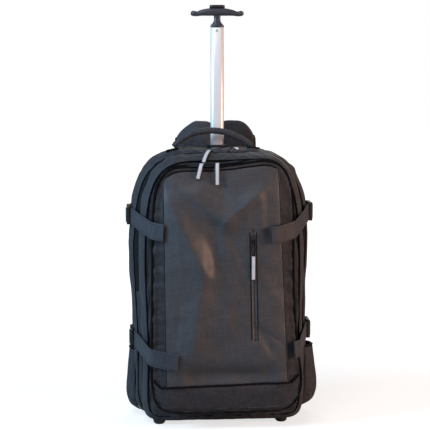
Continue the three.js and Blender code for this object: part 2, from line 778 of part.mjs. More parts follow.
function grabHandle() {
  const line = grabRows.map(({ across, up }) => (
    at(grabMiddle + across * grabHalfSpan, grabY, mix(bodyTop, grabTop - grabRadius, up))));
  const pads = [-1, 1].map((side) => {
    const x = grabMiddle + side * (grabHalfSpan + 2);
    const reach = grabEnd / 2;
    const rise = outlineTop(rearOutline, x + reach) - outlineTop(rearOutline, x - reach);
    const pad = new THREE.BoxGeometry(grabEnd, 2.2 * grabRadius, grabEndWall);
    pad.rotateY(-Math.atan(rise / grabEnd));
    return pad.translate(x, grabY, outlineTop(rearOutline, x) + grabEndWall / 2 + seat);
  });
  return join(roundTube(line, grabRadius, 5, 16), ...pads);
}

// Height of an outline's top edge at a place across.
function outlineTop(outline, x) {
  const { halfWidth, bottom, top, upperPower } = outline;
  const up = (1 - Math.abs(x / halfWidth) ** upperPower) ** (1 / upperPower);
  return (top + bottom) / 2 + (up * (top - bottom)) / 2;
}

addPart('grab_handle', grabHandle(), 'cloth');

// Telescopic handle
function hollowPost(outside, bore, low, high) {
  const shape = tubeOutline(outside);
  shape.holes.push(new THREE.Path(tubeOutline(bore).getPoints(4)));
  return upright(shape, low, high, 4);
}

const collarTop = bodyTop + gap + 5;
addPart('outer_tube', hollowPost(outerMargin, slideGap, outerTubeBottom, outerTubeTop), 'aluminium');
addPart('tube_collar', hollowPost(6, slideGap, bodyTop + gap, collarTop), 'blackPlastic');
addPart('inner_tube', hollowPost(0, -tubeWall, bodyTop - tubeInsideLength, tubeTop), 'aluminium');

// Level section of the neck or upright section of the grip: an oval with blunt ends.
function oval(halfA, halfB, place, count = 10) {
  const points = [];
  for (let i = 0; i < count; i++) {
    const angle = (2 * Math.PI * i) / count;
    const [c, d] = [Math.cos(angle), Math.sin(angle)];
    points.push(place(halfA * Math.sign(c) * Math.abs(c) ** 0.8, halfB * Math.sign(d) * Math.abs(d) ** 0.8));
  }
  return points;
}

// Neck: its height as a share, its half width and half depth as shares of the tube's
const neckRows = [
  { up: 0, wide: 0.5, deep: 0.5 },
  { up: 0.12, wide: 0.5, deep: 0.5 },
  { up: 0.32, wide: 0.3, deep: 0.42 },
  { up: 0.55, wide: 0.24, deep: 0.38 },
  { up: 0.8, wide: 0.28, deep: 0.42 },
  { up: 1, wide: 0.42, deep: 0.5 },
];
// Grip, from the middle to one end: across is a share of its half width, drop and high (half
// the height) are shares of its height, deep (half the depth) is a share of its depth
const gripRows = [
  { across: 0, drop: 0, high: 0.5, deep: 0.5 },
  { across: 0.34, drop: 0.03, high: 0.47, deep: 0.5 },
  { across: 0.6, drop: 0.12, high: 0.38, deep: 0.46 },
  { across: 0.76, drop: 0.25, high: 0.31, deep: 0.42 },
  { across: 0.88, drop: 0.2, high: 0.35, deep: 0.46 },
  { across: 0.96, drop: 0.2, high: 0.29, deep: 0.4 },
  { across: 1, drop: 0.22, high: 0.16, deep: 0.24 },
];
const gripTop = tubeTop + gripRise;
const buttonTravel = 3;
const buttonDepth = 13;
const buttonFoot = 4.5;           // part of the button inside the grip at rest

function buttonShape(margin) {
  const shape = new THREE.Shape();
  const [radius, flat] = [buttonDepth / 2 + margin, (buttonWidth - buttonDepth) / 2];
  shape.absarc(flat, 0, radius, -Math.PI / 2, Math.PI / 2);
  shape.absarc(-flat, 0, radius, Math.PI / 2, (3 * Math.PI) / 2);
  shape.closePath();
  return shape;
}

function grip() {
  const middleZ = gripTop - gripHeight / 2;
  const neckFoot = tubeTop + gap;
  const neck = loft(neckRows.map(({ up, wide, deep }) => (
    oval(wide * tubeWidth, deep * tubeDepth, (x, y) => at(x, tubeY + y, mix(neckFoot, middleZ, up))))));
  const mirrored = gripRows.slice(1).reverse().map((row) => ({ ...row, across: -row.across }));
  const bar = loft([...mirrored, ...gripRows].map(({ across, drop, high, deep }) => (
    oval(deep * gripDepth, high * gripHeight, (y, z) => (
      at((across * gripWidth) / 2, tubeY + y, middleZ - drop * gripHeight + z))))));
  const pocketFloor = gripTop - buttonFoot - buttonTravel - gap;
  const pocket = upright(buttonShape(gap), pocketFloor, gripTop + gripHeight);
  return cut(join(bar, neck), pocket);
}

addPart('handle_grip', grip(), 'plastic');
addPart('handle_button', upright(buttonShape(0), gripTop - buttonFoot, gripTop + buttonRise, 4), 'plastic');

// Wheels: each is a tyre on a hub that turns on its housing's axle
const hubRadius = 18;
const shoulder = 4;               // rounding of the tyre's edges

function turned(profile, side) {
  const geometry = new THREE.LatheGeometry(profile.map(([r, x]) => new THREE.Vector2(r, x)), 16);
  return geometry.rotateZ(Math.PI / 2).translate(side * wheelX, wheelY, wheelRadius);
}

function tyre(side) {
  const half = wheelWidth / 2;
  return turned([[hubRadius, -half], [wheelRadius - shoulder, -half], [wheelRadius, shoulder - half],
    [wheelRadius, half - shoulder], [wheelRadius - shoulder, half], [hubRadius, half],
    [hubRadius, -half]], side);
}

function hub(side) {
  const [half, bore, rim] = [wheelWidth / 2 - 1, axleRadius + gap, hubRadius - gap];
  const dish = 3;
  return turned([[bore, -half], [rim * 0.5, -half], [rim * 0.6, dish - half], [rim, dish - half],
    [rim, half - dish], [rim * 0.6, half - dish], [rim * 0.5, half], [bore, half], [bore, -half]], side);
}

function wheelHousing(side) {
  const low = underside + 2;
  const backPlace = (share) => mix(wheelY, housingRearY, share);
  const upPlace = (share) => mix(low, housingTop, share);
  const shape = new THREE.Shape([[housingFrontY, low], [backPlace(0.28), low],
    [backPlace(0.68), upPlace(0.23)], [backPlace(0.71), upPlace(0.73)],
    [backPlace(0.57), housingTop], [housingFrontY + housingWall, housingTop],
    [housingFrontY, upPlace(0.85)]].map(([y, z]) => new THREE.Vector2(y, z)));
  const depth = 2 * housingHalfWidth;
  const block = new THREE.ExtrudeGeometry(shape, { depth, bevelEnabled: false });
  block.rotateY(Math.PI / 2).rotateX(Math.PI / 2).translate(side * wheelX - housingHalfWidth, 0, 0);
  const [wellRadius, wellHalf] = [wheelRadius + wheelGap, wheelWidth / 2 + wheelGap];
  const well = new THREE.CylinderGeometry(wellRadius, wellRadius, 2 * wellHalf, 24);
  well.rotateZ(Math.PI / 2).translate(side * wheelX, wheelY, wheelRadius);
  const under = box(at(side * wheelX - wellHalf, wheelY - wellRadius, -1),
    at(side * wheelX + wellHalf, wheelY + wellRadius, wheelRadius));
  const behind = box(at(side * wheelX - wellHalf, wheelY, -1),
    at(side * wheelX + wellHalf, housingRearY + 10, wheelRadius + wellRadius * 0.75));
  const axle = new THREE.CylinderGeometry(axleRadius, axleRadius, 2 * wellHalf + housingWall, 12);
  axle.rotateZ(Math.PI / 2).translate(side * wheelX, wheelY, wheelRadius);
  return join(cut(block, well, under, behind), axle);
}

for (const [side, name] of [[-1, 'left'], [1, 'right']]) {
  addPart(`wheel_housing_${name}`, wheelHousing(side), 'blackPlastic');
  addPart(`tyre_${name}`, tyre(side), 'tyre');
  addPart(`hub_${name}`, hub(side), 'blackPlastic');
}

// Front feet: low domes with a flat sole, trimmed to the cloth that they are riveted to
function foot(side) {
  const high = footRise;
  const profile = [[0, 0], [footRadius * 0.7, 0], [footRadius * 0.92, high * 0.2], [footRadius, high * 0.6],
    [footRadius, high], [0, high]];
  const dome = new THREE.LatheGeometry(profile.map(([r, z]) => new THREE.Vector2(r, z)), 16);
  dome.rotateX(Math.PI / 2).translate(side * (mainHalfWidth - footInset), footY, 0);
  return cut(dome, seatBlock(mainOutline, mainRows));
}

addPart('front_foot_left', foot(-1), 'blackPlastic');
addPart('front_foot_right', foot(1), 'blackPlastic');

// Compression straps: each runs from its buckle on the side, round the front edge, to its
// end on the pocket's face. Heights are shares of bodyTop, the end across is a share of
// pocketHalfWidth, and the tail is how far the loose end stands out from the cloth.
const buckleLength = 42;
const buckleHeight = 35;
const buckleWall = 7;
const buckleFrontY = 2;
const straps = [
  { name: 'upper_left', side: -1, start: 0.757, end: 0.722, across: 0.78, tail: 1 },
  { name: 'upper_right', side: 1, start: 0.765, end: 0.712, across: 0.60, tail: 9 },
  { name: 'lower_left', side: -1, start: 0.300, end: 0.257, across: 0.54, tail: 1 },
  { name: 'lower_right', side: 1, start: 0.322, end: 0.296, across: 0.95, tail: 8 },
];

// Taut line round the outside of a row of places seen from above, as [across, depth].
function tautLine(places) {
  const line = [];
  for (const place of places) {
    while (line.length > 1) {
      const [a, b] = [line[line.length - 2], line[line.length - 1]];
      const turn = (b[0] - a[0]) * (place[1] - b[1]) - (b[1] - a[1]) * (place[0] - b[0]);
      if (turn < 0) break;
      line.pop();
    }
    line.push(place);
  }
  return line;
}

// Furthest that the bag's side stands out between two depths and within a band of heights.
function widestSide(side, fromY, toY, z, halfBand) {
  let widest = 0;
  for (let i = 0; i <= 6; i++) {
    for (const height of [z - halfBand, z, z + halfBand]) {
      widest = Math.max(widest, sideX(side, mix(fromY, toY, i / 6), height));
    }
  }
  return widest;
}

function strapLine({ side, start, end, across, tail }) {
  const half = webbingWidth / 2;
  const startZ = start * bodyTop;
  const endX = across * pocketHalfWidth;
  const places = [];
  const spacing = 6;
  for (let y = buckleFrontY - 4 * gap; y > pocketEdgeY; y -= spacing) {
    places.push([widestSide(side, y, y, startZ, half), y]);
  }
  const cornerZ = mix(startZ, end * bodyTop, 0.6);
  places.push([widestSide(side, pocketEdgeY, pocketEdgeY, cornerZ, half), pocketEdgeY]);
  for (let x = outlineX(pocketOutline, side, end * bodyTop) - spacing; x > endX; x -= spacing) {
    const front = [-half, 0, half].map((dz) => faceY(side * x, end * bodyTop + dz));
    places.push([x, Math.min(...front)]);
  }
  const standOff = 3 * seat + webbingWall / 2;
  const line = tautLine(places);
  const first = places[0][0] + 3;
  return line.map(([x, y], i) => {
    const before = line[Math.max(0, i - 1)];
    const after = line[Math.min(line.length - 1, i + 1)];
    const normal = new THREE.Vector2(before[1] - after[1], after[0] - before[0]).normalize();
    const share = (places[0][0] - x + buckleFrontY - y) / (places[0][0] - endX + buckleFrontY - pocketEdgeY);
    const loose = tail * Math.max(0, share - 0.75) * 4;
    const z = mix(startZ, end * bodyTop, Math.min(1, share));
    return at(side * (i === 0 ? first : x + normal.x * standOff), y + normal.y * standOff - loose, z);
  });
}

function buckleX(side, z) {
  return widestSide(side, buckleFrontY, buckleFrontY + buckleLength, z, buckleHeight / 2) + gap;
}

// Corners of a rectangle with bevelled corners, as places in its plane.
function bevelledRectangle(middle, halfLength, halfHeight, corner) {
  const places = [];
  for (const [a, b] of [[1, -1], [1, 1], [-1, 1], [-1, -1]]) {
    const near = [[a * halfLength, b * (halfHeight - corner)], [a * (halfLength - corner), b * halfHeight]];
    if (a * b < 0) near.reverse();
    places.push(...near.map(([x, y]) => new THREE.Vector2(middle + x, y)));
  }
  return places;
}

function buckle({ side, start }) {
  const [halfLength, halfHeight] = [buckleLength / 2, buckleHeight / 2];
  const shape = new THREE.Shape(bevelledRectangle(0, halfLength, halfHeight, 4));
  for (const middle of [-0.7, 0.7]) {
    shape.holes.push(new THREE.Path(bevelledRectangle(middle * halfLength, 1.8, halfHeight - 4, 0.6)));
  }
  const slab = new THREE.ExtrudeGeometry(shape, { depth: buckleWall, bevelEnabled: false });
  slab.rotateY(Math.PI / 2).rotateX(Math.PI / 2).translate(-buckleWall / 2, 0, 0);
  const z = start * bodyTop;
  slab.translate(side * (buckleX(side, z) + buckleWall / 2), buckleFrontY + halfLength, z);
  return cut(slab, seatBlock(rearOutline, rearRows));
}

function rearStrap({ side, start }) {
  const z = start * bodyTop;
  const startY = buckleFrontY + buckleLength + 2 * gap;
  const line = [[startY, 3], [mix(startY, backY, 0.5), gap], [backY - 4, gap]].map(([y, lift]) => (
    at(side * (widestSide(side, y - 4, y + 4, z, webbingWidth / 2) + lift + webbingWall / 2), y, z)));
  return ribbon(line, at(0, 0, 1), webbingWidth, webbingWall, 5);
}

for (const strap of straps) {
  addPart(`compression_strap_${strap.name}`,
    ribbon(strapLine(strap), at(0, 0, 1), webbingWidth, webbingWall, 15), 'webbing');
  addPart(`buckle_${strap.name}`, buckle(strap), 'blackPlastic');
  addPart(`rear_strap_${strap.name}`, rearStrap(strap), 'webbing');
}

// Zip pulls: each starts on its zip's slider and hangs from it. The columns of a line are the
// place across, the depth and the height, as shares of pocketHalfWidth, pocketEdgeY and bodyTop.
const pullWidth = 8;
const pullWall = 1.8;
const pulls = [
  { name: 'main_pull_left', line: [[-0.12, 0.122, 0.985], [-0.13, 0.16, 0.989], [-0.15, 0.23, 0.998],
    [-0.17, 0.33, 1.005], [-0.21, 0.47, 1.0], [-0.24, 0.6, 0.983]] },
  { name: 'main_pull_right', line: [[0.11, 0.122, 0.9865], [0.13, 0.16, 0.99], [0.17, 0.22, 0.999],
    [0.21, 0.3, 1.008], [0.25, 0.38, 1.004]] },
  { name: 'pocket_pull_left', line: [[-0.27, 0.688, 0.952], [-0.275, 0.78, 0.958], [-0.285, 0.92, 0.961],
    [-0.30, 1.02, 0.957], [-0.32, 1.075, 0.94], [-0.35, 1.10, 0.912]] },
  { name: 'pocket_pull_middle', line: [[-0.07, 0.688, 0.9555], [-0.07, 0.78, 0.961], [-0.07, 0.92, 0.963],
    [-0.075, 1.02, 0.957], [-0.08, 1.08, 0.935], [-0.08, 1.11, 0.89]] },
  { name: 'panel_pull', line: [[0.415, 1.18, 0.705], [0.418, 1.19, 0.66], [0.42, 1.2, 0.62],
    [0.42, 1.2, 0.555]] },
];

function zipPull({ line }) {
  const points = line.map(([x, y, z]) => at(x * pocketHalfWidth, y * pocketEdgeY, z * bodyTop));
  return ribbon(points, at(1, 0, 0), pullWidth, pullWall, 8);
}

for (const pull of pulls) addPart(pull.name, zipPull(pull), 'pull');

const tally = new THREE.Box3().setFromObject(model);
model.position.set(-(tally.min.x + tally.max.x) / 2, -(tally.min.y + tally.max.y) / 2, 0);

export default model;
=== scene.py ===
# %% [markdown]
# # A wheeled backpack
# This lesson dresses a plain solid model of a wheeled backpack so that it looks like the
# real thing. The solid model is loaded first and stays as a fixed frame: every piece made
# below sits where a solid sits, in metres, with +Z up and the bag's front facing -Y.

import bmesh
import bpy
import numpy as np
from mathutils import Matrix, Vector


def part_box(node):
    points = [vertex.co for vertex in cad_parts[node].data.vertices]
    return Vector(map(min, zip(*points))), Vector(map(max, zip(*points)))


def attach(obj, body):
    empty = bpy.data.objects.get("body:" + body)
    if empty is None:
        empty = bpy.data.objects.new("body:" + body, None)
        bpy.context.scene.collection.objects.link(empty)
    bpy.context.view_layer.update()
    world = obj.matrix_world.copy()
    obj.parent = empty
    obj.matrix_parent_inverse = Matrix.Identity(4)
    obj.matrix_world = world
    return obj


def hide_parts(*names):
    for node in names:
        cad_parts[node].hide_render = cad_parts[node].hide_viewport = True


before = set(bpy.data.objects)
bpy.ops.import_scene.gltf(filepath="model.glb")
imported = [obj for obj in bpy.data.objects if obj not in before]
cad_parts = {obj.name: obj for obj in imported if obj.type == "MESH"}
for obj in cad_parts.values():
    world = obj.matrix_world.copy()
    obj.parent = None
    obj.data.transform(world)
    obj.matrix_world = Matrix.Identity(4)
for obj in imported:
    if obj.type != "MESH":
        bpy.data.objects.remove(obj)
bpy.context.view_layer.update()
tube_low, tube_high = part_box("inner_tube")
TUBE_BEHIND = 0.041
bag_x = (tube_low.x + tube_high.x) / 2
bag_y = (tube_low.y + tube_high.y) / 2 - TUBE_BEHIND
BAG = np.array([bag_x, bag_y, 0.0])

# %% [markdown]
# ## Camera
# The bag was photographed from a little above and a little to its left, far enough away
# for almost no perspective. A long lens at some distance does the same. A shorter lens
# close by would show more of the top, but it would also make the foot look narrow.

# %% Camera
VIEW_TURN = -4.0
VIEW_RISE = 7.5
VIEW_DISTANCE = 2.4
AIM = Vector((bag_x - 0.007, bag_y, 0.391))
IMAGE_SIZE = 430
FOCAL_PIXELS = 1263
SENSOR = 36.0

turn, rise = np.radians(VIEW_TURN), np.radians(VIEW_RISE)
back = Vector((np.sin(turn) * np.cos(rise), -np.cos(turn) * np.cos(rise), np.sin(rise)))
camera_data = bpy.data.cameras.new("camera")
camera_data.sensor_width = SENSOR
camera_data.lens = FOCAL_PIXELS / IMAGE_SIZE * SENSOR
camera = bpy.data.objects.new("camera", camera_data)
camera.location = AIM + back * VIEW_DISTANCE
camera.rotation_mode = "QUATERNION"
camera.rotation_quaternion = (-back).to_track_quat("-Z", "Y")
bpy.context.collection.objects.link(camera)
bpy.context.scene.camera = camera
bpy.context.scene.view_settings.view_transform = "Standard"
print("lens", round(camera_data.lens, 1), "mm")

# %% [markdown]
# ## Light
# Dark cloth only shows its form where light grazes it. Two tinted boxes, cool on the left
# and warm on the right, tell the two flanks of each fold apart, and weak pale ones fill the
# front. The surround is white to the camera but gives the cloth little light. A bright sky
# all round would be simpler, and it would wash the folds out.

# %% Lights
LIGHT_AIM = 0.3
# name: place, size, power and colour of each soft box
SOFT_BOXES = {
    "cool_left": ((-2.0, -0.75, 1.25), 0.8, 58, (0.42, 0.70, 1.0)),
    "warm_right": ((2.0, -1.0, 0.7), 0.8, 40, (1.0, 0.62, 0.46)),
    "front_top": ((-0.6, -1.2, 2.4), 0.9, 21, (1.0, 0.96, 0.93)),
    "low_front": ((0.3, -2.2, 0.15), 0.9, 1.5, (1.0, 0.88, 0.80)),
    "behind": ((0.6, 1.9, 1.6), 1.4, 14, (1.0, 0.97, 0.93)),
}


def soft_box(name, place, size, power, colour):
    """A square area light that looks at the middle of the bag."""
    data = bpy.data.lights.new(name, "AREA")
    data.size = size
    data.energy = power
    data.color = colour
    light = bpy.data.objects.new(name, data)
    light.location = place
    aim = Vector((bag_x, bag_y, LIGHT_AIM)) - light.location
    light.rotation_mode = "QUATERNION"
    light.rotation_quaternion = aim.to_track_quat("-Z", "Y")
    bpy.context.collection.objects.link(light)


for box_name, box_values in SOFT_BOXES.items():
    soft_box(box_name, *box_values)

world = bpy.data.worlds.new("studio")
bpy.context.scene.world = world
world.use_nodes = True
world_nodes, world_links = world.node_tree.nodes, world.node_tree.links
sky = world_nodes["Background"]
SKY_SEEN, SKY_LIGHT = 1.0, 0.12
seen = world_nodes.new("ShaderNodeLightPath")
sky_mix = world_nodes.new("ShaderNodeMapRange")
sky_mix.inputs["To Min"].default_value = SKY_LIGHT
sky_mix.inputs["To Max"].default_value = SKY_SEEN
world_links.new(seen.outputs["Is Camera Ray"], sky_mix.inputs["Value"])
world_links.new(sky_mix.outputs[0], sky.inputs["Strength"])
sky.inputs["Color"].default_value = (1, 1, 1, 1)
print(len(SOFT_BOXES), "soft boxes and a white surround")

# %% [markdown]
# ## Tools for surfaces
# Every new piece is a grid of points worked out with numpy. Some are a function of two
# parameters, as a bulging panel is, and some are a profile carried along a path, as a
# strap is. The same forms could be pushed and pulled by hand, but then no number says how
# wide a strap is. The tools below turn such grids into meshes with a map in real metres, so
# that a weave has the same scale on every piece.

# %% From a grid to a mesh


def grid_faces(rows, columns, close_columns):
    """Four corners for each cell of a grid whose points are numbered row by row."""
    number = np.arange(rows * columns).reshape(rows, columns)
    if close_columns:
        number = np.hstack([number, number[:, :1]])
    corners = [number[:-1, :-1], number[:-1, 1:], number[1:, 1:], number[1:, :-1]]
    return np.stack(corners, axis=-1).reshape(-1, 4)


def together(*numbers):
    """Places from their separate numbers, each one an array or a single value."""
    return np.stack(np.broadcast_arrays(*numbers), axis=-1)


def lengths_along(grid, axis):
    """Running length along one direction of a grid, averaged over the other one."""
    step = np.linalg.norm(np.diff(grid, axis=axis), axis=2).mean(axis=1 - axis)
    return np.concatenate([[0.0], np.cumsum(step)])


def mesh_object(name, points, faces, face_map):
    """Object with these points and faces. Faces are a list of arrays, one for each number
    of corners, and face_map holds the map place of each corner in the same order."""
    mesh = bpy.data.meshes.new(name)
    corners = np.concatenate([f.ravel() for f in faces])
    totals = np.concatenate([np.full(len(f), f.shape[1]) for f in faces])
    mesh.vertices.add(len(points))
    mesh.vertices.foreach_set("co", points.ravel())
    mesh.loops.add(len(corners))
    mesh.loops.foreach_set("vertex_index", corners)
    mesh.polygons.add(len(totals))
    mesh.polygons.foreach_set("loop_start", np.concatenate([[0], np.cumsum(totals)[:-1]]))
    mesh.polygons.foreach_set("loop_total", totals)
    mesh.polygons.foreach_set("use_smooth", np.ones(len(totals), dtype=bool))
    mesh.uv_layers.new(name="cloth").data.foreach_set("uv", face_map.ravel())
    mesh.update(calc_edges=True)
    mesh.validate()
    obj = bpy.data.objects.new(name, mesh)
    bpy.context.collection.objects.link(obj)
    return obj


def grid_object(name, grid, close_columns=False, capped=(), facing=None):
    """Surface through a grid of rows and columns. It is turned so that its faces look away
    from its middle, or along facing. capped names the ends, 0 and -1, that get a lid."""
    rows, columns = grid.shape[:2]
    faces = grid_faces(rows, columns, close_columns)
    points = grid.reshape(-1, 3) + BAG
    quads = points[faces]
    normal = np.cross(quads[:, 2] - quads[:, 0], quads[:, 3] - quads[:, 1])
    middle = points.mean(axis=0)
    outward = (quads.mean(axis=1) - middle) if facing is None else np.array(facing)
    inside_out = (normal * outward).sum() < 0
    v = lengths_along(grid, 0)
    u = lengths_along(np.hstack([grid, grid[:, :1]]), 1) if close_columns else lengths_along(grid, 1)
    spread = np.stack(np.meshgrid(u[:columns], v), axis=-1).reshape(-1, 2)
    face_map = spread[faces]
    if close_columns:
        wrapped = np.ptp(face_map[:, :, 0], axis=1) > u[-1] / 2
        low = face_map[:, :, 0] < u[-1] / 2
        face_map[:, :, 0] += np.where(wrapped[:, None] & low, u[-1], 0)
    if inside_out:
        faces, face_map = faces[:, ::-1], face_map[:, ::-1]
    lids = []
    for end in capped:
        lid = np.arange(columns) + (0 if end == 0 else (rows - 1) * columns)
        lids.append((lid if (end == 0) != inside_out else lid[::-1])[None, ::-1])
    maps = [face_map.reshape(-1, 2)] + [spread[lid].reshape(-1, 2) for lid in lids]
    return mesh_object(name, points, [faces, *lids], np.concatenate(maps))


# %% [markdown]
# ### Paths and profiles
# Straps, cords, piping and the post are all a profile that travels along a path. The path
# is a smooth curve through a few chosen points, and two directions square to it say how
# the profile is turned at each place. Blender's own curves can do this too, but a grid
# keeps a map in metres.

# %% Paths, profiles and the end of each piece


def smooth_path(places, count, closed=False):
    """Catmull-Rom curve through a row of places, as count points evenly spaced along it."""
    p = np.asarray(places, float)
    ends = (p[-1:], p[:2]) if closed else (2 * p[:1] - p[1:2], 2 * p[-1:] - p[-2:-1])
    p = np.concatenate([ends[0], p, ends[1]])
    t = np.linspace(0, 1, 24, endpoint=False)[None, :, None]
    a, b, c, d = (p[i:len(p) - 3 + i, None, :] for i in range(4))
    curve = 0.5 * (2 * b + (c - a) * t + (2 * a - 5 * b + 4 * c - d) * t**2
                   + (3 * b - a - 3 * c + d) * t**3)
    curve = np.concatenate([curve.reshape(-1, p.shape[1]), p[-2:-1]])
    return evenly(curve, count, closed)


def evenly(curve, count, closed=False):
    """The same curve with count points, evenly spaced by length."""
    length = np.concatenate([[0.0], np.cumsum(np.linalg.norm(np.diff(curve, axis=0), axis=1))])
    place = np.linspace(0, length[-1], count, endpoint=not closed)
    return np.stack([np.interp(place, length, column) for column in curve.T], axis=1)


def unit(vectors):
    """The same directions with length 1: each vector over its own length."""
    return vectors / np.maximum(np.linalg.norm(vectors, axis=-1, keepdims=True), 1e-12)


def path_frame(path, lead, closed=False):
    """Two directions square to a path: one as near to lead as it can be, one square to both."""
    if closed:
        along = unit(np.roll(path, -1, axis=0) - np.roll(path, 1, axis=0))
    else:
        along = unit(np.gradient(path, axis=0))
    lead = np.broadcast_to(np.asarray(lead, float), path.shape)
    across = unit(lead - along * (lead * along).sum(axis=1, keepdims=True))
    return across, np.cross(along, across)


def sweep(name, path, profile, lead, closed=False, widths=None, heights=None):
    """A closed profile carried along a path: each point is the path's point plus the
    profile's first number along the lead and its second one square to it. widths and
    heights scale the profile from place to place."""
    across, out = path_frame(path, lead, closed)
    widths = np.ones(len(path)) if widths is None else widths
    heights = widths if heights is None else heights
    grid = (path[:, None] + across[:, None] * (profile[None, :, :1] * widths[:, None, None])
            + out[:, None] * (profile[None, :, 1:] * heights[:, None, None]))
    if closed:
        grid = np.concatenate([grid, grid[:1]])
        obj = grid_object(name, grid, True)
        return merge_doubles(obj)
    return grid_object(name, grid, True, capped=(0, -1))


def merge_doubles(obj, distance=1e-6):
    """Joins points that lie on each other, so that a closed band has no slit."""
    edit = bmesh.new()
    edit.from_mesh(obj.data)
    bmesh.ops.remove_doubles(edit, verts=edit.verts, dist=distance)
    edit.to_mesh(obj.data)
    edit.free()
    return obj


def oval(width, height, count=24, power=2.0):
    """Closed profile between an ellipse, power 2, and a rectangle, high powers."""
    angle = 2 * np.pi * np.arange(count) / count
    c, s = np.cos(angle), np.sin(angle)
    return together(width / 2 * np.sign(c) * np.abs(c) ** (2 / power),
                    height / 2 * np.sign(s) * np.abs(s) ** (2 / power))


def thicken(obj, wall):
    """Gives a sheet its wall, inwards from the surface that shows."""
    solidify = obj.modifiers.new("wall", "SOLIDIFY")
    solidify.thickness = wall
    solidify.offset = -1.0
    return obj


def finish_piece(obj, body, finish, node):
    """Gives a piece its material, ties it to the body and hides the solid that it stands for."""
    obj.data.materials.clear()
    obj.data.materials.append(finish)
    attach(obj, body)
    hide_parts(node)


# %% [markdown]
# ### Wrinkles
# Cloth never lies quite smooth. A sum of waves in seeded directions makes soft, uneven
# ripples, and a fold is a ridge between two points that falls off to both sides. A cloth
# simulation could find such folds by itself, but these stay where the photo has them.

# %% Wrinkles


def ripples(points, waves_per_metre, seed, count=16, stretch=(1, 1, 1)):
    """Sum of sine waves in random directions, about -1 to 1. stretch draws them out: a
    small number along z makes streaks that run up and down."""
    source = np.random.default_rng(seed)
    directions = unit(source.normal(size=(count, 3)))
    sizes = waves_per_metre * source.uniform(0.6, 1.6, count)
    phases = source.uniform(0, 2 * np.pi, count)
    waves = (points * np.array(stretch)) @ (directions * sizes[:, None]).T * 2 * np.pi + phases
    return np.sin(waves).sum(axis=-1) / np.sqrt(count)


def ridge(across, up, x0, z0, x1, z1, width, sharp=1.0, fade=0.0):
    """Height from 0 to 1 of a fold between two points: it falls off with the distance from
    the line between them. sharp 2 gives a round fold and 1 a crisp one, and fade says how
    much lower the fold is at its ends than in its middle."""
    dx, dz = x1 - x0, z1 - z0
    share = np.clip(((across - x0) * dx + (up - z0) * dz) / (dx * dx + dz * dz), 0, 1)
    distance = np.hypot(across - x0 - share * dx, up - z0 - share * dz)
    return np.exp(-((distance / width) ** sharp)) * (1 - fade * (2 * share - 1) ** 2)


def grid_normals(grid, close_columns=False):
    """Unit direction square to a grid at each of its points."""
    by_row = np.gradient(grid, axis=0)
    if close_columns:
        by_column = np.roll(grid, -1, axis=1) - np.roll(grid, 1, axis=1)
    else:
        by_column = np.gradient(grid, axis=1)
    return unit(np.cross(by_row, by_column))


print("surface tools ready")

# %% [markdown]
# ## Finishes
# Each finish is a small network of procedural textures. Effects that several finishes
# share, such as a weave, slow changes of tone, dust or moulded grain, are node groups with
# named inputs, so that a finish reads like a recipe. A photo of the cloth could be laid on
# instead, but it would bring its own light and shadow along.

# %% Building node groups


class Recipe:
    """A short way to write shader nodes: each call makes a node and returns its output."""

    def __init__(self, tree):
        self.tree = tree

    def node(self, kind, **settings):
        """A new node of this kind with these settings."""
        made = self.tree.nodes.new("ShaderNode" + kind)
        for key, value in settings.items():
            setattr(made, key, value)
        return made

    def feed(self, socket, value):
        """Links an output to a socket, or sets the socket to a plain number."""
        if isinstance(value, bpy.types.NodeSocket):
            self.tree.links.new(value, socket)
        else:
            socket.default_value = value

    def math(self, operation, *values, clamp=False):
        """One sum, such as ADD or SINE, of numbers or outputs."""
        made = self.node("Math", operation=operation, use_clamp=clamp)
        for socket, value in zip(made.inputs, values):
            self.feed(socket, value)
        return made.outputs[0]

    def mix(self, share, first, second):
        """The first colour where share is 0 and the second one where it is 1."""
        made = self.node("Mix", data_type="RGBA")
        sockets = (made.inputs[0], made.inputs[6], made.inputs[7])
        for socket, value in zip(sockets, (share, first, second)):
            self.feed(socket, value)
        return made.outputs[2]

    def span(self, value, low, high, to_low=0.0, to_high=1.0):
        """A value between low and high, drawn out to lie between to_low and to_high."""
        made = self.node("MapRange")
        for socket, number in zip(made.inputs, (value, low, high, to_low, to_high)):
            self.feed(socket, number)
        return made.outputs[0]

    def noise(self, place, scale, detail=2.0, roughness=0.5):
        """Uneven value from 0 to 1 with about scale patches in a metre."""
        made = self.node("TexNoise")
        self.feed(made.inputs["Vector"], place)
        self.feed(made.inputs["Scale"], scale)
        made.inputs["Detail"].default_value = detail
        made.inputs["Roughness"].default_value = roughness
        return made.outputs["Fac"]

    def parts(self, vector):
        """The three numbers of a vector."""
        made = self.node("SeparateXYZ")
        self.feed(made.inputs[0], vector)
        return made.outputs

    def scaled(self, vector, sizes):
        """A place with each of its numbers multiplied, which draws a pattern out."""
        made = self.node("Mapping")
        self.feed(made.inputs["Vector"], vector)
        made.inputs["Scale"].default_value = sizes
        return made.outputs[0]

    def bump(self, height, distance, strength=1.0, normal=None):
        """Shading of a relief that is distance metres high, on top of another one."""
        made = self.node("Bump")
        self.feed(made.inputs["Height"], height)
        self.feed(made.inputs["Distance"], distance)
        self.feed(made.inputs["Strength"], strength)
        if normal is not None:
            self.feed(made.inputs["Normal"], normal)
        return made.outputs[0]

    def group(self, tree, **values):
        """A shared effect with these inputs."""
        made = self.node("Group")
        made.node_tree = tree
        for key, value in values.items():
            self.feed(made.inputs[key], value)
        return made.outputs


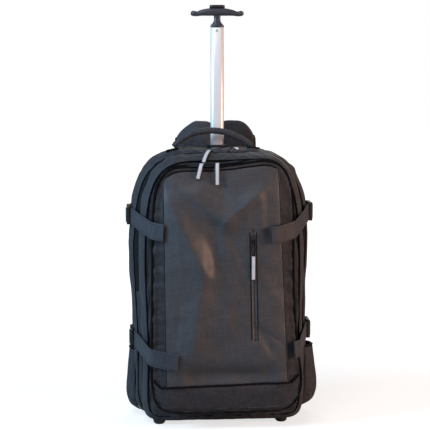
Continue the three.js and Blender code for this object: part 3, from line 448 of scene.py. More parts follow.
def new_group(name, inputs, outputs):
    """An empty group with named number or vector inputs (default given) and outputs."""
    tree = bpy.data.node_groups.new(name, "ShaderNodeTree")
    for key, value in inputs.items():
        kind = "NodeSocketVector" if value is None else "NodeSocketFloat"
        socket = tree.interface.new_socket(key, in_out="INPUT", socket_type=kind)
        if value is not None:
            socket.default_value = value
    for key in outputs:
        tree.interface.new_socket(key, in_out="OUTPUT", socket_type="NodeSocketFloat")
    recipe = Recipe(tree)
    given, result = tree.nodes.new("NodeGroupInput"), tree.nodes.new("NodeGroupOutput")
    return tree, recipe, given.outputs, result.inputs


# %% [markdown]
# ### Effects that finishes share
# A weave is two sine waves that cross, and the ribs of a strap are one wave with a finer
# one along it. Noise alone would look woven from far away, but it has no threads to count.
# Slow patches of tone, and dust low down, keep large faces from looking printed.

# %% Shared effects
def make_weave():
    """Plain weave: threads over and under each other, from two sine waves set off by a half step, with
    uneven thread thickness. Tone is painted shade: lower where the weave lies low, between the threads."""
    tree, r, given, result = new_group(
        "woven_threads", {"Place": None, "Threads": 1400.0, "Uneven": 0.25}, ("Height", "Tone"))
    place = r.parts(given["Place"])
    drift = r.math("MULTIPLY", r.noise(given["Place"], 260.0), given["Uneven"])
    turns = r.math("MULTIPLY", given["Threads"], 2 * np.pi)
    across = r.math("ADD", r.math("MULTIPLY", place[0], turns), r.math("MULTIPLY", drift, 9.0))
    along = r.math("ADD", r.math("MULTIPLY", place[1], turns), r.math("MULTIPLY", drift, 7.0))
    crossing = r.math("MULTIPLY", r.math("SINE", across), r.math("SINE", along))
    height = r.span(crossing, -1.0, 1.0)
    r.feed(result["Height"], height)
    r.feed(result["Tone"], r.span(height, 0.0, 1.0, 0.75, 1.1))
    return tree


def make_ribs():
    """Ribs of a webbing or a cord edge: one sine wave across, a finer one along. Tone is painted shade,
    darker in the grooves between the ribs.
    """
    tree, r, given, result = new_group(
        "webbing_ribs", {"Place": None, "Ribs": 900.0, "Picks": 700.0}, ("Height", "Tone"))
    place = r.parts(given["Place"])
    rib = r.math("SINE", r.math("MULTIPLY", place[0], r.math("MULTIPLY", given["Ribs"], 2 * np.pi)))
    pick = r.math("SINE", r.math("MULTIPLY", place[1], r.math("MULTIPLY", given["Picks"], 2 * np.pi)))
    height = r.span(r.math("ADD", rib, r.math("MULTIPLY", pick, 0.8)), -1.8, 1.8)
    r.feed(result["Height"], height)
    r.feed(result["Tone"], r.span(height, 0.0, 1.0, 0.72, 1.15))
    return tree


def make_variation():
    """Slow uneven tone: broad patches and finer mottling, as handled cloth and paint have."""
    tree, r, given, result = new_group(
        "slow_variation", {"Place": None, "Size": 8.0, "Amount": 0.2}, ("Tone", "Mask"))
    broad = r.noise(given["Place"], given["Size"], 3.0)
    fine = r.noise(given["Place"], r.math("MULTIPLY", given["Size"], 9.0), 2.0)
    mask = r.math("ADD", r.math("MULTIPLY", broad, 0.7), r.math("MULTIPLY", fine, 0.3))
    swing = r.math("MULTIPLY", r.math("SUBTRACT", mask, 0.5), r.math("MULTIPLY", given["Amount"], 3.0))
    r.feed(result["Tone"], r.math("ADD", 1.0, swing))
    r.feed(result["Mask"], mask)
    return tree


def make_dust():
    """Dust and scuffs near the floor: strongest at height zero, broken up by noise."""
    tree, r, given, result = new_group(
        "dust_near_floor", {"Place": None, "Reach": 0.1, "Amount": 0.3}, ("Mask",))
    height = r.parts(given["Place"])[2]
    low = r.math("SUBTRACT", 1.0, r.math("DIVIDE", height, given["Reach"]), clamp=True)
    specks = r.span(r.noise(given["Place"], 90.0, 4.0), 0.42, 0.72)
    r.feed(result["Mask"], r.math("MULTIPLY", r.math("MULTIPLY", low, specks), given["Amount"]))
    return tree


def make_grain():
    """Moulded grain of plastic and rubber: a fine cell pattern with a little noise."""
    tree, r, given, result = new_group("moulded_grain", {"Place": None, "Size": 1500.0}, ("Height",))
    cells = r.node("TexVoronoi")
    r.feed(cells.inputs["Vector"], given["Place"])
    r.feed(cells.inputs["Scale"], given["Size"])
    noise = r.noise(given["Place"], r.math("MULTIPLY", given["Size"], 0.5), 2.0)
    r.feed(result["Height"], r.math("ADD", cells.outputs["Distance"], r.math("MULTIPLY", noise, 0.5)))
    return tree


WEAVE, RIBS, VARIATION = make_weave(), make_ribs(), make_variation()
DUST, GRAIN = make_dust(), make_grain()
print("effects:", ", ".join(tree.name for tree in (WEAVE, RIBS, VARIATION, DUST, GRAIN)))

# %% [markdown]
# ### The finishes of this bag
# The cloth is a dark blue-grey nylon with a fine weave. The smooth panel on the front is a
# laminate: a polyester face with a coating, which makes it paler and satin. Webbing, zip
# tape and thread are nearly black, the post is satin aluminium, the rest is plastic.


# %% Colours and steady values
def linear(red, green, blue):
    """A colour given in 0-255 display values, as the linear numbers that a shader takes."""
    share = np.array([red, green, blue]) / 255
    value = np.where(share <= 0.04045, share / 12.92, ((share + 0.055) / 1.055) ** 2.4)
    return (*value, 1.0)


CLOTH_DUST, PLASTIC_DUST = linear(120, 112, 104), linear(128, 120, 112)
WEB_WIDTH = 0.032


def material(name, roughness, metallic=0.0, sheen=0.0, coat=0.0, specular=0.5):
    """A new material with its steady values, its recipe and its shader."""
    made = bpy.data.materials.new(name)
    made.use_nodes = True
    shader = made.node_tree.nodes["Principled BSDF"]
    shader.inputs["Roughness"].default_value = roughness
    shader.inputs["Metallic"].default_value = metallic
    shader.inputs["Sheen Weight"].default_value = sheen
    shader.inputs["Sheen Roughness"].default_value = 0.4
    shader.inputs["Coat Weight"].default_value = coat
    shader.inputs["Coat Roughness"].default_value = 0.25
    shader.inputs["Specular IOR Level"].default_value = specular
    return made, Recipe(made.node_tree), shader


def toned(r, colour, *tones):
    """A colour multiplied by each of the tones."""
    result = r.node("VectorMath", operation="SCALE")
    r.feed(result.inputs[0], colour[:3] if not isinstance(colour, bpy.types.NodeSocket) else colour)
    scale = tones[0]
    for tone in tones[1:]:
        scale = r.math("MULTIPLY", scale, tone)
    r.feed(result.inputs["Scale"], scale)
    return result.outputs[0]


def places(r):
    """The cloth map in metres and the place in the object in metres."""
    made = r.node("TexCoord")
    return made.outputs["UV"], made.outputs["Object"]


# %% [markdown]
# ### Cloth, webbing and tape
# All three are woven, so they share a way of building: the threads give a height and painted shade where
# they lie low, slow patches change the tone, and the height becomes a bump.

# %% Woven finishes
def cloth_material(name, colour, threads=900.0, depth=0.00012, roughness=0.7, sheen=0.06,
                   amount=0.12, dust=0.12, streaks=0.0, crumple_depth=0.0022, specular=0.4,
                   mottle=0.28):
    """Woven cloth: colour, threads in a metre, how far the threads stand up, and how much
    its tone wanders. streaks adds long uneven lines along the second map direction, and
    mottle makes single threads paler or darker. crumple_depth is the height of the small
    creases, and a broader set of them is 2.2 times as high."""
    made, r, shader = material(name, roughness, sheen=sheen, specular=specular)
    cloth_map, place = places(r)
    weave = r.group(WEAVE, Place=cloth_map, Threads=threads)
    slow = r.group(VARIATION, Place=place, Amount=amount)
    # The weave's tone is painted shade between the threads; the slow tone is the cloth's own.
    body = toned(r, colour, weave["Tone"], slow["Tone"])
    height = weave["Height"]
    threads_up = r.noise(r.scaled(place, (1.0, 1.0, 0.12)), 420.0, 2.0)
    threads_across = r.noise(r.scaled(place, (0.12, 0.12, 1.0)), 420.0, 2.0)
    mottled = r.math("ADD", threads_up, threads_across)
    body = toned(r, body, r.span(mottled, 0.75, 1.25, 1 - mottle, 1 + mottle))
    if streaks:
        long_lines = r.noise(r.scaled(cloth_map, (1.0, 0.06, 1.0)), 420.0, 3.0)
        body = toned(r, body, r.span(long_lines, 0.3, 0.7, 1 - streaks, 1 + streaks))
    dusty = r.group(DUST, Place=place, Amount=dust)
    r.feed(shader.inputs["Base Color"], r.mix(dusty["Mask"], body, CLOTH_DUST))
    broad = r.bump(r.noise(place, 30.0, 3.0, 0.5), 2.2 * crumple_depth, 0.7)
    crumple = r.bump(r.noise(place, 75.0, 5.0, 0.6), crumple_depth, 0.7, broad)
    r.feed(shader.inputs["Normal"], r.bump(height, depth, 0.8, crumple))
    r.feed(shader.inputs["Roughness"], r.span(slow["Mask"], 0.3, 0.7, roughness - 0.06, roughness + 0.06))
    return made


def webbing_material(name, colour, width):
    """Woven strap: ribs across, picks along, and a darker selvedge line near each edge."""
    made, r, shader = material(name, 0.62, sheen=0.05, specular=0.35)
    cloth_map, place = places(r)
    ribs = r.group(RIBS, Place=cloth_map, Ribs=520.0, Picks=620.0)
    slow = r.group(VARIATION, Place=place, Amount=0.1)
    across = r.parts(cloth_map)[0]
    wrapped = r.math("PINGPONG", across, width / 2)
    selvedge = r.math("COMPARE", wrapped, 0.0036, 0.0005)
    picks = r.noise(r.scaled(cloth_map, (0.1, 1.0, 1.0)), 480.0, 2.0)
    # The ribs' tone is painted shade in the grooves; the slow tone and the picks are the webbing's own.
    body = toned(r, colour, ribs["Tone"], slow["Tone"], r.span(selvedge, 0.0, 1.0, 1.0, 0.4),
                 r.span(picks, 0.3, 0.7, 0.75, 1.25))
    r.feed(shader.inputs["Base Color"], body)
    r.feed(shader.inputs["Normal"], r.bump(ribs["Height"], 0.00022, 0.9))
    return made


def tape_material(name, colour):
    """Zip tape: a fine herringbone, matt and dark."""
    made, r, shader = material(name, 0.8, specular=0.2)
    cloth_map, place = places(r)
    ribs = r.group(RIBS, Place=cloth_map, Ribs=1400.0, Picks=1100.0)
    slow = r.group(VARIATION, Place=place, Amount=0.12)
    # The ribs' tone is painted shade in the grooves; the slow tone is the tape's own.
    r.feed(shader.inputs["Base Color"], toned(r, colour, ribs["Tone"], slow["Tone"]))
    r.feed(shader.inputs["Normal"], r.bump(ribs["Height"], 0.0001, 0.7))
    return made


# %% [markdown]
# ### Plastic, metal and pull tape
# Hard parts show by their gloss. A fine grain and a slight change of roughness from place
# to place keep a moulding from looking like glass, and the metal is drawn along its length.

# %% Hard finishes
def plastic_material(name, colour, roughness=0.5, grain=1500.0, depth=0.00006, coat=0.0, dust=0.2):
    """Moulded plastic: a fine grain, slight changes of gloss and dust low down."""
    made, r, shader = material(name, roughness, coat=coat)
    _, place = places(r)
    fine = r.group(GRAIN, Place=place, Size=grain)
    slow = r.group(VARIATION, Place=place, Size=14.0, Amount=0.07)
    dusty = r.group(DUST, Place=place, Amount=dust)
    r.feed(shader.inputs["Base Color"],
           r.mix(dusty["Mask"], toned(r, colour, slow["Tone"]), PLASTIC_DUST))
    r.feed(shader.inputs["Roughness"], r.span(slow["Mask"], 0.3, 0.7, roughness - 0.07, roughness + 0.07))
    r.feed(shader.inputs["Normal"], r.bump(fine["Height"], depth, 0.5))
    return made


def aluminium_material(name, colour, roughness):
    """Satin anodised aluminium: faint marks drawn along its length, near white."""
    made, r, shader = material(name, roughness, metallic=0.25)
    _, place = places(r)
    drawn = r.noise(r.scaled(place, (1.0, 1.0, 0.02)), 2600.0, 3.0)
    slow = r.group(VARIATION, Place=place, Size=10.0, Amount=0.03)
    marks = r.span(drawn, 0.3, 0.7, 0.97, 1.02)
    r.feed(shader.inputs["Base Color"], toned(r, colour, slow["Tone"], marks))
    r.feed(shader.inputs["Roughness"], r.span(drawn, 0.3, 0.7, roughness - 0.05, roughness + 0.06))
    r.feed(shader.inputs["Normal"], r.bump(drawn, 0.00003, 0.4))
    return made


def pull_material(name):
    """Reflective pull tape: a pale woven strip between two black edges. The map's first
    number runs across the tape, in shares of its width."""
    made, r, shader = material(name, 0.42, specular=0.6)
    cloth_map, place = places(r)
    across = r.math("ABSOLUTE", r.math("SUBTRACT", r.parts(cloth_map)[0], 0.5))
    strip = r.span(across, 0.31, 0.35, 1.0, 0.0)
    slow = r.group(VARIATION, Place=place, Size=60.0, Amount=0.12)
    pale = toned(r, linear(196, 198, 204), slow["Tone"])
    r.feed(shader.inputs["Base Color"], r.mix(strip, linear(30, 31, 35), pale))
    wave = r.noise(place, 900.0, 2.0)
    r.feed(shader.inputs["Normal"], r.bump(wave, 0.0002, 0.5))
    return made


# %% The finishes in use
SIDE_CLOTH = cloth_material("side_cloth", linear(46, 47, 52), threads=800, streaks=0.24)
PANEL = cloth_material("panel_laminate", linear(65, 65, 68), threads=1500, depth=0.00004,
                       roughness=0.48, amount=0.05, dust=0.05, crumple_depth=0.0006, mottle=0.14)
LOWER = cloth_material("lower_cloth", linear(44, 43, 47), threads=620, depth=0.0002, streaks=0.12)
POUCH = cloth_material("pouch_cloth", linear(42, 43, 48), threads=900)
HARNESS = cloth_material("harness_cloth", linear(50, 52, 58), threads=1000)
MESH = cloth_material("spacer_mesh", linear(36, 37, 40), threads=330, depth=0.0006, roughness=0.9)
PIPING = cloth_material("piping", linear(13, 13, 15), threads=1200, streaks=0.1, sheen=0.0,
                        roughness=0.9, specular=0.1)
TAPE = tape_material("zip_tape", linear(20, 20, 22))
COIL = plastic_material("zip_coil", linear(22, 22, 24), roughness=0.4)
THREAD = plastic_material("thread", linear(66, 67, 72), roughness=0.7)
WEBBING = webbing_material("webbing", linear(54, 56, 62), WEB_WIDTH)
GRIP = plastic_material("grip_plastic", linear(52, 55, 64), roughness=0.42, coat=0.15)
BLACK = plastic_material("black_plastic", linear(25, 26, 29), roughness=0.45)
RUBBER = plastic_material("tyre_rubber", linear(29, 29, 31), roughness=0.8, dust=0.5)
ALUMINIUM = aluminium_material("aluminium", linear(238, 239, 241), 0.34)
STEEL = aluminium_material("rivet_steel", linear(190, 190, 192), 0.25)
PULL = pull_material("pull_tape")
print(len(bpy.data.materials), "materials")

# %% [markdown]
# ## Floor
# The bag stands on a wide, plain, pale floor. It glows a little more the farther it lies
# from the bag, so that it fades into the white surround and no horizon shows. A white cloth
# that curves up would do this as well, but it would hide the bag from behind.

# %% Floor
FLOOR_RADIUS, FLOOR_CORNERS = 9.0, 96
FLOOR_DROP = 0.0003
FADE_START, FADE_END = 0.5, 1.8
GLOW_NEAR, GLOW_FAR = 0.7, 1.0
FLOOR_TONE = 0.4


def floor_material():
    """Matt pale floor that glows more the farther it lies from the bag, for camera rays."""
    made, r, shader = material("pale_floor", 0.9)
    shader.inputs["Base Color"].default_value = (FLOOR_TONE, FLOOR_TONE, FLOOR_TONE, 1)
    shader.inputs["Emission Color"].default_value = (1, 1, 1, 1)
    distance = r.node("VectorMath", operation="LENGTH")
    r.feed(distance.inputs[0], places(r)[1])
    glow = r.span(distance.outputs["Value"], FADE_START, FADE_END, GLOW_NEAR, GLOW_FAR)
    camera_ray = r.node("LightPath").outputs["Is Camera Ray"]
    r.feed(shader.inputs["Emission Strength"], r.math("MULTIPLY", glow, camera_ray))
    return made


around = np.linspace(0, 2 * np.pi, FLOOR_CORNERS, endpoint=False)
rim = together(FLOOR_RADIUS * np.cos(around), FLOOR_RADIUS * np.sin(around), -FLOOR_DROP)
floor_mesh = bpy.data.meshes.new("floor")
floor_mesh.from_pydata(rim.tolist(), [], [list(range(len(rim)))])
floor_mesh.materials.append(floor_material())
floor = bpy.data.objects.new("floor", floor_mesh)
bpy.context.collection.objects.link(floor)
print("a floor", 2 * FLOOR_RADIUS, "m across")

# %% [markdown]
# ## Shape of the bag
# Seen from the front, the bag is a stack of three outlines: the rear tub, the front half of
# the main compartment and the front pocket. Each one is a rounded box whose sides swell and
# slump a little. The sizes below are read from the solid model wherever it has them.

# %% Outlines


def reach(node):
    """Lowest and highest corner of a solid, measured from the middle of the bag."""
    low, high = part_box(node)
    return np.array(low) - BAG, np.array(high) - BAG


rear_low, rear_high = reach("rear_shell")
main_low, main_high = reach("main_shell")
pocket_low, pocket_high = reach("pocket_shell")
UNDERSIDE, BODY_TOP = rear_low[2], 0.517
RIM_REAR, BACK = rear_low[1], rear_high[1]
RIM_MAIN, MAIN_FRONT = main_high[1], main_low[1]
POCKET_REAR, POCKET_BOTTOM, POCKET_TOP = pocket_high[1], pocket_low[2], 0.497
POCKET_EDGE = -0.098
FACE_BULGE = 0.017
WALL, POCKET_WALL, PANEL_WALL, TAPE_WALL = 0.002, 0.0014, 0.0012, 0.0007
ZIP_DIP = 0.001
RING_POINTS = 480


def smooth_table(rows):
    """Dense table through a few rows of (place, value, ...), with soft bends."""
    return smooth_path(rows, 240)


def read_table(table, place, column=1):
    """Value of a dense table at a place, in a straight line between its rows."""
    return np.interp(place, table[:, 0], table[:, column])


class Outline:
    """Rounded box seen from the front. powers round its upper and lower corners, sides
    holds rows of (height share, left, right) and lifts rows of (place across, lift)."""

    def __init__(self, half, low, high, powers, sides, lifts):
        self.half, self.low, self.high, self.powers = half, low, high, powers
        self.sides, self.lifts = smooth_table(sides), smooth_table(lifts)
        self.middle = (low + high) / 2

    def dense(self, inset=0.0):
        """Many points round the outline: a superellipse, |cos|^(2/power) and |sin|^(2/power),
        whose sides and top are then moved by the two tables."""
        angle = -np.pi / 2 + np.linspace(0, 2 * np.pi, 2880, endpoint=False)
        c, s = np.cos(angle), np.sin(angle)
        power = 2 / np.where(s > 0, *self.powers)
        across = np.sign(c) * np.abs(c) ** power
        up = np.sign(s) * np.abs(s) ** power
        height = (up + 1) / 2
        side = np.where(c > 0, read_table(self.sides, height, 2), read_table(self.sides, height, 1))
        lift = np.maximum(0, up) * read_table(self.lifts, across) * (self.high - self.low)
        x = across * (self.half * side - inset)
        z = self.middle + up * ((self.high - self.low) / 2 - inset) + lift
        return together(x, z)

    def ring(self, inset=0.0, count=RING_POINTS):
        """Evenly spaced points round the outline, from under its middle to the right."""
        curve = self.dense(inset)
        return evenly(np.concatenate([curve, curve[:1]]), count, True)

    def share(self, x, z):
        """How far out a place lies: 0 in the middle of the outline, 1 on its edge."""
        height = np.clip((z - self.low) / (self.high - self.low), 0, 1)
        side = np.where(x > 0, read_table(self.sides, height, 2), read_table(self.sides, height, 1))
        lift = read_table(self.lifts, x / self.half) * (self.high - self.low)
        across = np.abs(x / (self.half * side))
        up = np.where(z > self.middle, (z - self.middle) / (self.high + lift - self.middle),
                      (self.middle - z) / (self.middle - self.low))
        power = np.where(z > self.middle, *self.powers)
        return (across**power + np.abs(up) ** power) ** (1 / power)


REAR = Outline(0.170, UNDERSIDE, BODY_TOP, (4, 15),
               [(0, 0.965, 0.975), (0.2, 0.955, 0.99), (0.34, 0.955, 1), (0.5, 0.985, 1),
                (0.64, 1, 1.025), (0.74, 0.99, 1.025), (1, 1, 1)], [(-1, 0), (1, 0)])
MAIN = Outline(0.152, UNDERSIDE, 0.511, (4.6, 15),
               [(0, 0.99, 1.06), (0.2, 0.97, 1.05), (0.35, 0.97, 1.03), (0.6, 1, 1.04),
                (1, 0.98, 1)], [(-1, 0), (0, 0), (0.6, 0.008), (1, 0.008)])
POCKET = Outline(0.131, POCKET_BOTTOM, POCKET_TOP, (6, 8),
                 [(0, 1.02, 1.13), (0.12, 1.01, 1.14), (0.3, 0.99, 1.05), (0.55, 0.98, 1),
                  (1, 0.96, 1)],
                 [(-1, 0), (-0.35, -0.012), (0.1, -0.006), (0.6, 0.016), (1, 0.018)])
print("outlines:", [len(o.ring()) for o in (REAR, MAIN, POCKET)], "points")

# %% [markdown]
# ## The cloth body
# The rear tub and the front half are each one sheet of cloth over foam. They are made as
# rings that shrink from the open rim over a rounded corner to a flat wall. A rounded box
# would be quicker, but its corners would be the same all round, and a bag slumps at its
# foot. Fine ripples stand for cloth that never lies flat, and long ones run down the sides,
# where the weight of the bag pulls the cloth.

# %% Tubs


def ring_grid(rows):
    """Grid of rings: rows of (outline, inset, depth, scale towards the middle)."""
    grid = []
    for outline, inset, depth, scale in rows:
        flat = outline.ring(inset)
        x = flat[:, 0] * scale
        z = outline.middle + (flat[:, 1] - outline.middle) * scale
        grid.append(together(x, depth, z))
    return np.array(grid)


def tub_rows(outline, rim, wall, corner, sections, count=34):
    """Rows from the rim to the middle of the closed wall: the sections give depth and inset
    as shares, then the rings shrink over the wall itself."""
    profile = smooth_path(sections, count)
    side = [(outline, inset * corner, rim + (wall - rim) * depth, 1.0) for depth, inset in profile]
    inward = np.array([0.985, 0.96, 0.93, 0.9, 0.86, 0.81, 0.75, 0.6, 0.4, 0.15, 0.02])
    return side + [(outline, corner, wall, scale) for scale in inward]


def wrinkled(grid, height, seed, waves=16.0, stretch=(1, 1, 1), closed=True):
    """Moves a grid along its normals by ripples of this height."""
    normals = grid_normals(grid, closed)
    return grid + normals * (ripples(grid, waves, seed, stretch=stretch) * height)[..., None]


CUT_MARGIN = 0.012


def cut_box(obj, low, high):
    """Cuts a box-shaped hole, given from the middle of the bag, into a mesh: planes along
    the six sides of the box split the faces near it, and the faces inside go."""
    low, high = Vector(low + BAG), Vector(high + BAG)
    edit = bmesh.new()
    edit.from_mesh(obj.data)

    def near(face, margin):
        spot = face.calc_center_median()
        return all(low[i] - margin < spot[i] < high[i] + margin for i in range(3))

    for axis in range(3):
        for corner in (low, high):
            normal = Vector([float(i == axis) for i in range(3)])
            faces = [face for face in edit.faces if near(face, CUT_MARGIN)]
            parts = {part for face in faces for part in (face, *face.edges, *face.verts)}
            bmesh.ops.bisect_plane(edit, geom=list(parts), plane_co=corner, plane_no=normal)
    bmesh.ops.delete(edit, geom=[face for face in edit.faces if near(face, 0.0)], context="FACES")
    edit.to_mesh(obj.data)
    edit.free()
    return obj


REAR_SECTIONS = [(0, 0.5), (0.13, 0.12), (0.38, 0), (0.74, 0), (0.92, 0.31), (1, 1)]
MAIN_SECTIONS = [(0, 0.15), (0.18, 0), (0.58, 0.1), (0.84, 0.35), (0.967, 0.65), (1, 1)]
REAR_CORNER, MAIN_CORNER = 0.016, 0.020
# Height in metres, seed, waves in a metre and stretch of each layer of ripples
REAR_RIPPLES = [(0.0012, 3, 12), (0.0011, 4, 34, (1.8, 1.8, 0.22))]
MAIN_RIPPLES = [(0.0009, 5, 14), (0.0007, 6, 40, (1.6, 1.6, 0.3))]
# The load pulls the lower front edge down, so that its corner is tighter than the others
EDGE_SAG, SAG_TOP, SAG_FADE, SAG_TIGHTNESS = 0.85, 0.06, 0.05, 0.85

rear = ring_grid(tub_rows(REAR, RIM_REAR, BACK, REAR_CORNER, REAR_SECTIONS))
for layer in REAR_RIPPLES:
    rear = wrinkled(rear, *layer)
rear_cloth = grid_object("rear_cloth", rear, True, capped=(-1,))
main_rows = tub_rows(MAIN, RIM_MAIN, MAIN_FRONT, MAIN_CORNER, MAIN_SECTIONS)
main = ring_grid(main_rows)
low_share = np.clip((SAG_TOP - main[..., 2]) / SAG_FADE, 0, 1)
main[..., 2] -= EDGE_SAG * low_share * np.array([row[1] for row in main_rows])[:, None]
slack = 1 - SAG_TIGHTNESS * low_share
for height, *layer in MAIN_RIPPLES:
    main = wrinkled(main, height * slack, *layer)
main_cloth = grid_object("main_cloth", main, True, capped=(-1,))

housing_low, housing_high = reach("wheel_housing_right")
NOTCH_GAP, NOTCH_FOOT, NOTCH_BACK, SLOT_REACH = 0.0004, -0.01, 0.1, 0.01
for side in (-1, 1):
    inner, outer = sorted([side * housing_low[0], side * housing_high[0]])
    cut_box(rear_cloth, np.array([inner - NOTCH_GAP, housing_low[1] - NOTCH_GAP, NOTCH_FOOT]),
            np.array([outer + NOTCH_GAP, NOTCH_BACK, housing_high[2] + NOTCH_GAP]))
tube_in_low, tube_in_high = reach("outer_tube")
cut_box(rear_cloth, np.array([tube_in_low[0], tube_in_low[1], BODY_TOP - SLOT_REACH]),
        np.array([tube_in_high[0], tube_in_high[1], BODY_TOP + SLOT_REACH]))
for obj, node in ((rear_cloth, "rear_shell"), (main_cloth, "main_shell")):
    thicken(obj, WALL)
    finish_piece(obj, "bag", SIDE_CLOTH, node)
print("tubs:", len(rear_cloth.data.polygons), len(main_cloth.data.polygons), "faces")

# %% [markdown]
# ## Zips
# A zip is two woven tapes with a nylon coil between them. On the real bag each tape is sewn
# under the edge of the cloth, so that it lies a little deeper than the cloth and a dark
# groove shows. The tape is a band that dips in the middle, and the coil is a small ridge
# with teeth. Real teeth, one by one, would take thousands of faces for each hand's breadth
# of zip, and at this distance a ridge that swells with each tooth looks the same. A gusset,
# plain cloth, closes the rest of the ring.

# %% Zip rings


def band_grid(outer, inner, dip, start, end, rows=9):
    """Band between two rims of (outline, inset, depth), for the shares of the way round
    from start to end. It dips inwards by dip between the rims."""
    ring_a, ring_b = outer[0].ring(outer[1]), inner[0].ring(inner[1])
    numbers = np.arange(round(start * RING_POINTS), round(end * RING_POINTS) + 1) % RING_POINTS
    share = np.linspace(0, 1, rows)[:, None]
    low, high = ring_a[numbers], ring_b[numbers]
    flat = low[None] * (1 - share[..., None]) + high[None] * share[..., None]
    middle = np.array([0, (outer[0].middle + inner[0].middle) / 2])
    inward = unit(middle - flat)
    depth = dip * np.sin(np.pi * share) ** 0.5
    flat = flat + inward * depth[..., None]
    return together(flat[..., 0], outer[2] + (inner[2] - outer[2]) * share, flat[..., 1])


TOOTH_STEPS, TOOTH_SWING = 5, 0.28


def teeth_line(path, pitch, radius, lead, width):
    """Coil of a zip: a ridge along a path, 1 + swing * sine times its radius, with one turn
    of the sine for each tooth."""
    length = np.linalg.norm(np.diff(path, axis=0), axis=1).sum()
    count = int(length / pitch) * TOOTH_STEPS
    line = evenly(path, count)
    swing = 1 + TOOTH_SWING * np.sin(np.arange(count) * 2 * np.pi / TOOTH_STEPS)
    across, out = path_frame(line, lead)
    profile = oval(width, 2 * radius, 8)
    return (line[:, None] + across[:, None] * profile[None, :, :1]
            + out[:, None] * (profile[None, :, 1:] * swing[:, None, None]))


MAIN_ZIP_SHARES = (0.25, 0.75)
POCKET_ZIP_SHARES = (0.143, 0.857)
SEW_GAP = 0.00035
main_rims = ((REAR, REAR_CORNER / 2 + ZIP_DIP, RIM_REAR - SEW_GAP),
             (MAIN, MAIN_CORNER * MAIN_SECTIONS[0][1] + ZIP_DIP, RIM_MAIN + SEW_GAP))
pocket_rims = ((POCKET, ZIP_DIP, MAIN_FRONT - SEW_GAP), (POCKET, ZIP_DIP, POCKET_REAR + SEW_GAP))
TOOTH = 0.0022
COIL_RADIUS = 0.0011


def zip_ring(name, rims, shares, dip, tape_node, gusset_node, coil_width):
    """Tape, coil and gusset of a zip that runs round the bag."""
    tape = grid_object(name + "_tape", band_grid(*rims, dip, *shares))
    thicken(tape, TAPE_WALL)
    finish_piece(tape, "bag", TAPE, tape_node)
    rest = (shares[1], 1 + shares[0])
    gusset = grid_object(name + "_gusset_cloth", band_grid(*rims, dip * 0.5, *rest, rows=7))
    thicken(gusset, PANEL_WALL)
    finish_piece(gusset, "bag", SIDE_CLOTH, gusset_node)
    line = band_grid(*rims, dip * 0.8, *shares, rows=3)[1]
    coil = grid_object(name + "_coil", teeth_line(line, TOOTH, COIL_RADIUS, (0, 1, 0), coil_width),
                       True, capped=(0, -1))
    finish_piece(coil, "bag", COIL, tape_node)


zip_ring("main_zip", main_rims, MAIN_ZIP_SHARES, dip=0.0035, tape_node="main_zip",
         gusset_node="main_gusset", coil_width=0.0046)
zip_ring("pocket_zip", pocket_rims, POCKET_ZIP_SHARES, dip=0.003, tape_node="pocket_zip",
         gusset_node="pocket_gusset", coil_width=0.004)
print("two zip rings")

# %% [markdown]
# ## The front pocket
# The pocket is stuffed, so its face stands out in the middle and falls off to the edge, and
# the slack cloth gathers in folds. The folds are ridges and valleys between two points.
# Broad ones come from the solid model, and sharper ones lie on top of them. Sculpting them
# with a brush is the other way, but a list of folds can be read and changed one by one.

# %% Face of the pocket
# x0, z0, x1, z1, width as shares of the half width and the body's height, then height
BROAD_FOLDS = [
    (-0.75, 0.83, -0.28, 0.59, 0.17, 0.34), (-0.28, 0.59, -0.42, 0.27, 0.20, 0.30),
    (-0.34, 0.86, 0.03, 0.765, 0.14, 0.28), (0.03, 0.765, 0.42, 0.85, 0.14, 0.26),
    (-0.10, 0.74, -0.12, 0.60, 0.11, -0.30), (-0.18, 0.96, 0.0, 0.88, 0.11, -0.26),
    (-0.40, 0.205, 0.60, 0.195, 0.14, -0.42), (0.52, 0.37, 0.70, 0.29, 0.07, -0.18),
]
FOLD_FADE = 0.7
# The same, with heights in metres and how round the fold is (1 crisp, 2 round)
FINE_FOLDS = [
    (-0.76, 0.917, 0.02, 0.756, 0.085, 0.0038, 1.4), (0.02, 0.756, 0.72, 0.907, 0.075, 0.0034, 1.3),
    (-0.73, 0.814, -0.28, 0.59, 0.080, 0.0034, 1.4), (-0.28, 0.59, -0.42, 0.285, 0.10, 0.0030, 1.4),
    (-0.26, 0.77, -0.17, 0.58, 0.10, -0.0022, 1.6), (0.04, 0.74, 0.30, 0.60, 0.09, -0.0032, 1.5),
    (0.66, 0.509, 0.855, 0.528, 0.045, -0.0026, 1.3), (0.55, 0.371, 0.87, 0.315, 0.055, -0.0024, 1.4),
    (-0.47, 0.208, 0.88, 0.214, 0.11, -0.0046, 1.6), (-0.60, 0.47, -0.66, 0.30, 0.05, -0.0020, 1.4),
    (0.60, 0.86, 0.66, 0.66, 0.06, -0.0014, 1.5), (0.50, 0.86, 0.56, 0.70, 0.055, 0.0012, 1.5),
    (-0.62, 0.70, -0.56, 0.52, 0.06, 0.0018, 1.5), (0.12, 0.62, 0.06, 0.34, 0.10, 0.0024, 1.8),
    (-0.16, 0.945, 0.00, 0.885, 0.05, -0.0040, 1.3), (0.30, 0.66, 0.36, 0.80, 0.05, 0.0016, 1.4),
]


def broad_face(x, z):
    """Depth of the pocket's face: the edge, less a crown (1 - share^4) and the folds, which
    fade out towards the edge."""
    share = np.minimum(1, POCKET.share(x, z))
    folds = sum(height * FACE_BULGE * ridge(x, z, x0 * POCKET.half, z0 * BODY_TOP, x1 * POCKET.half,
                                            z1 * BODY_TOP, width * POCKET.half, 2.0)
                for x0, z0, x1, z1, width, height in BROAD_FOLDS)
    return POCKET_EDGE - FACE_BULGE * (1 - share**4) - folds * (1 - share**8)


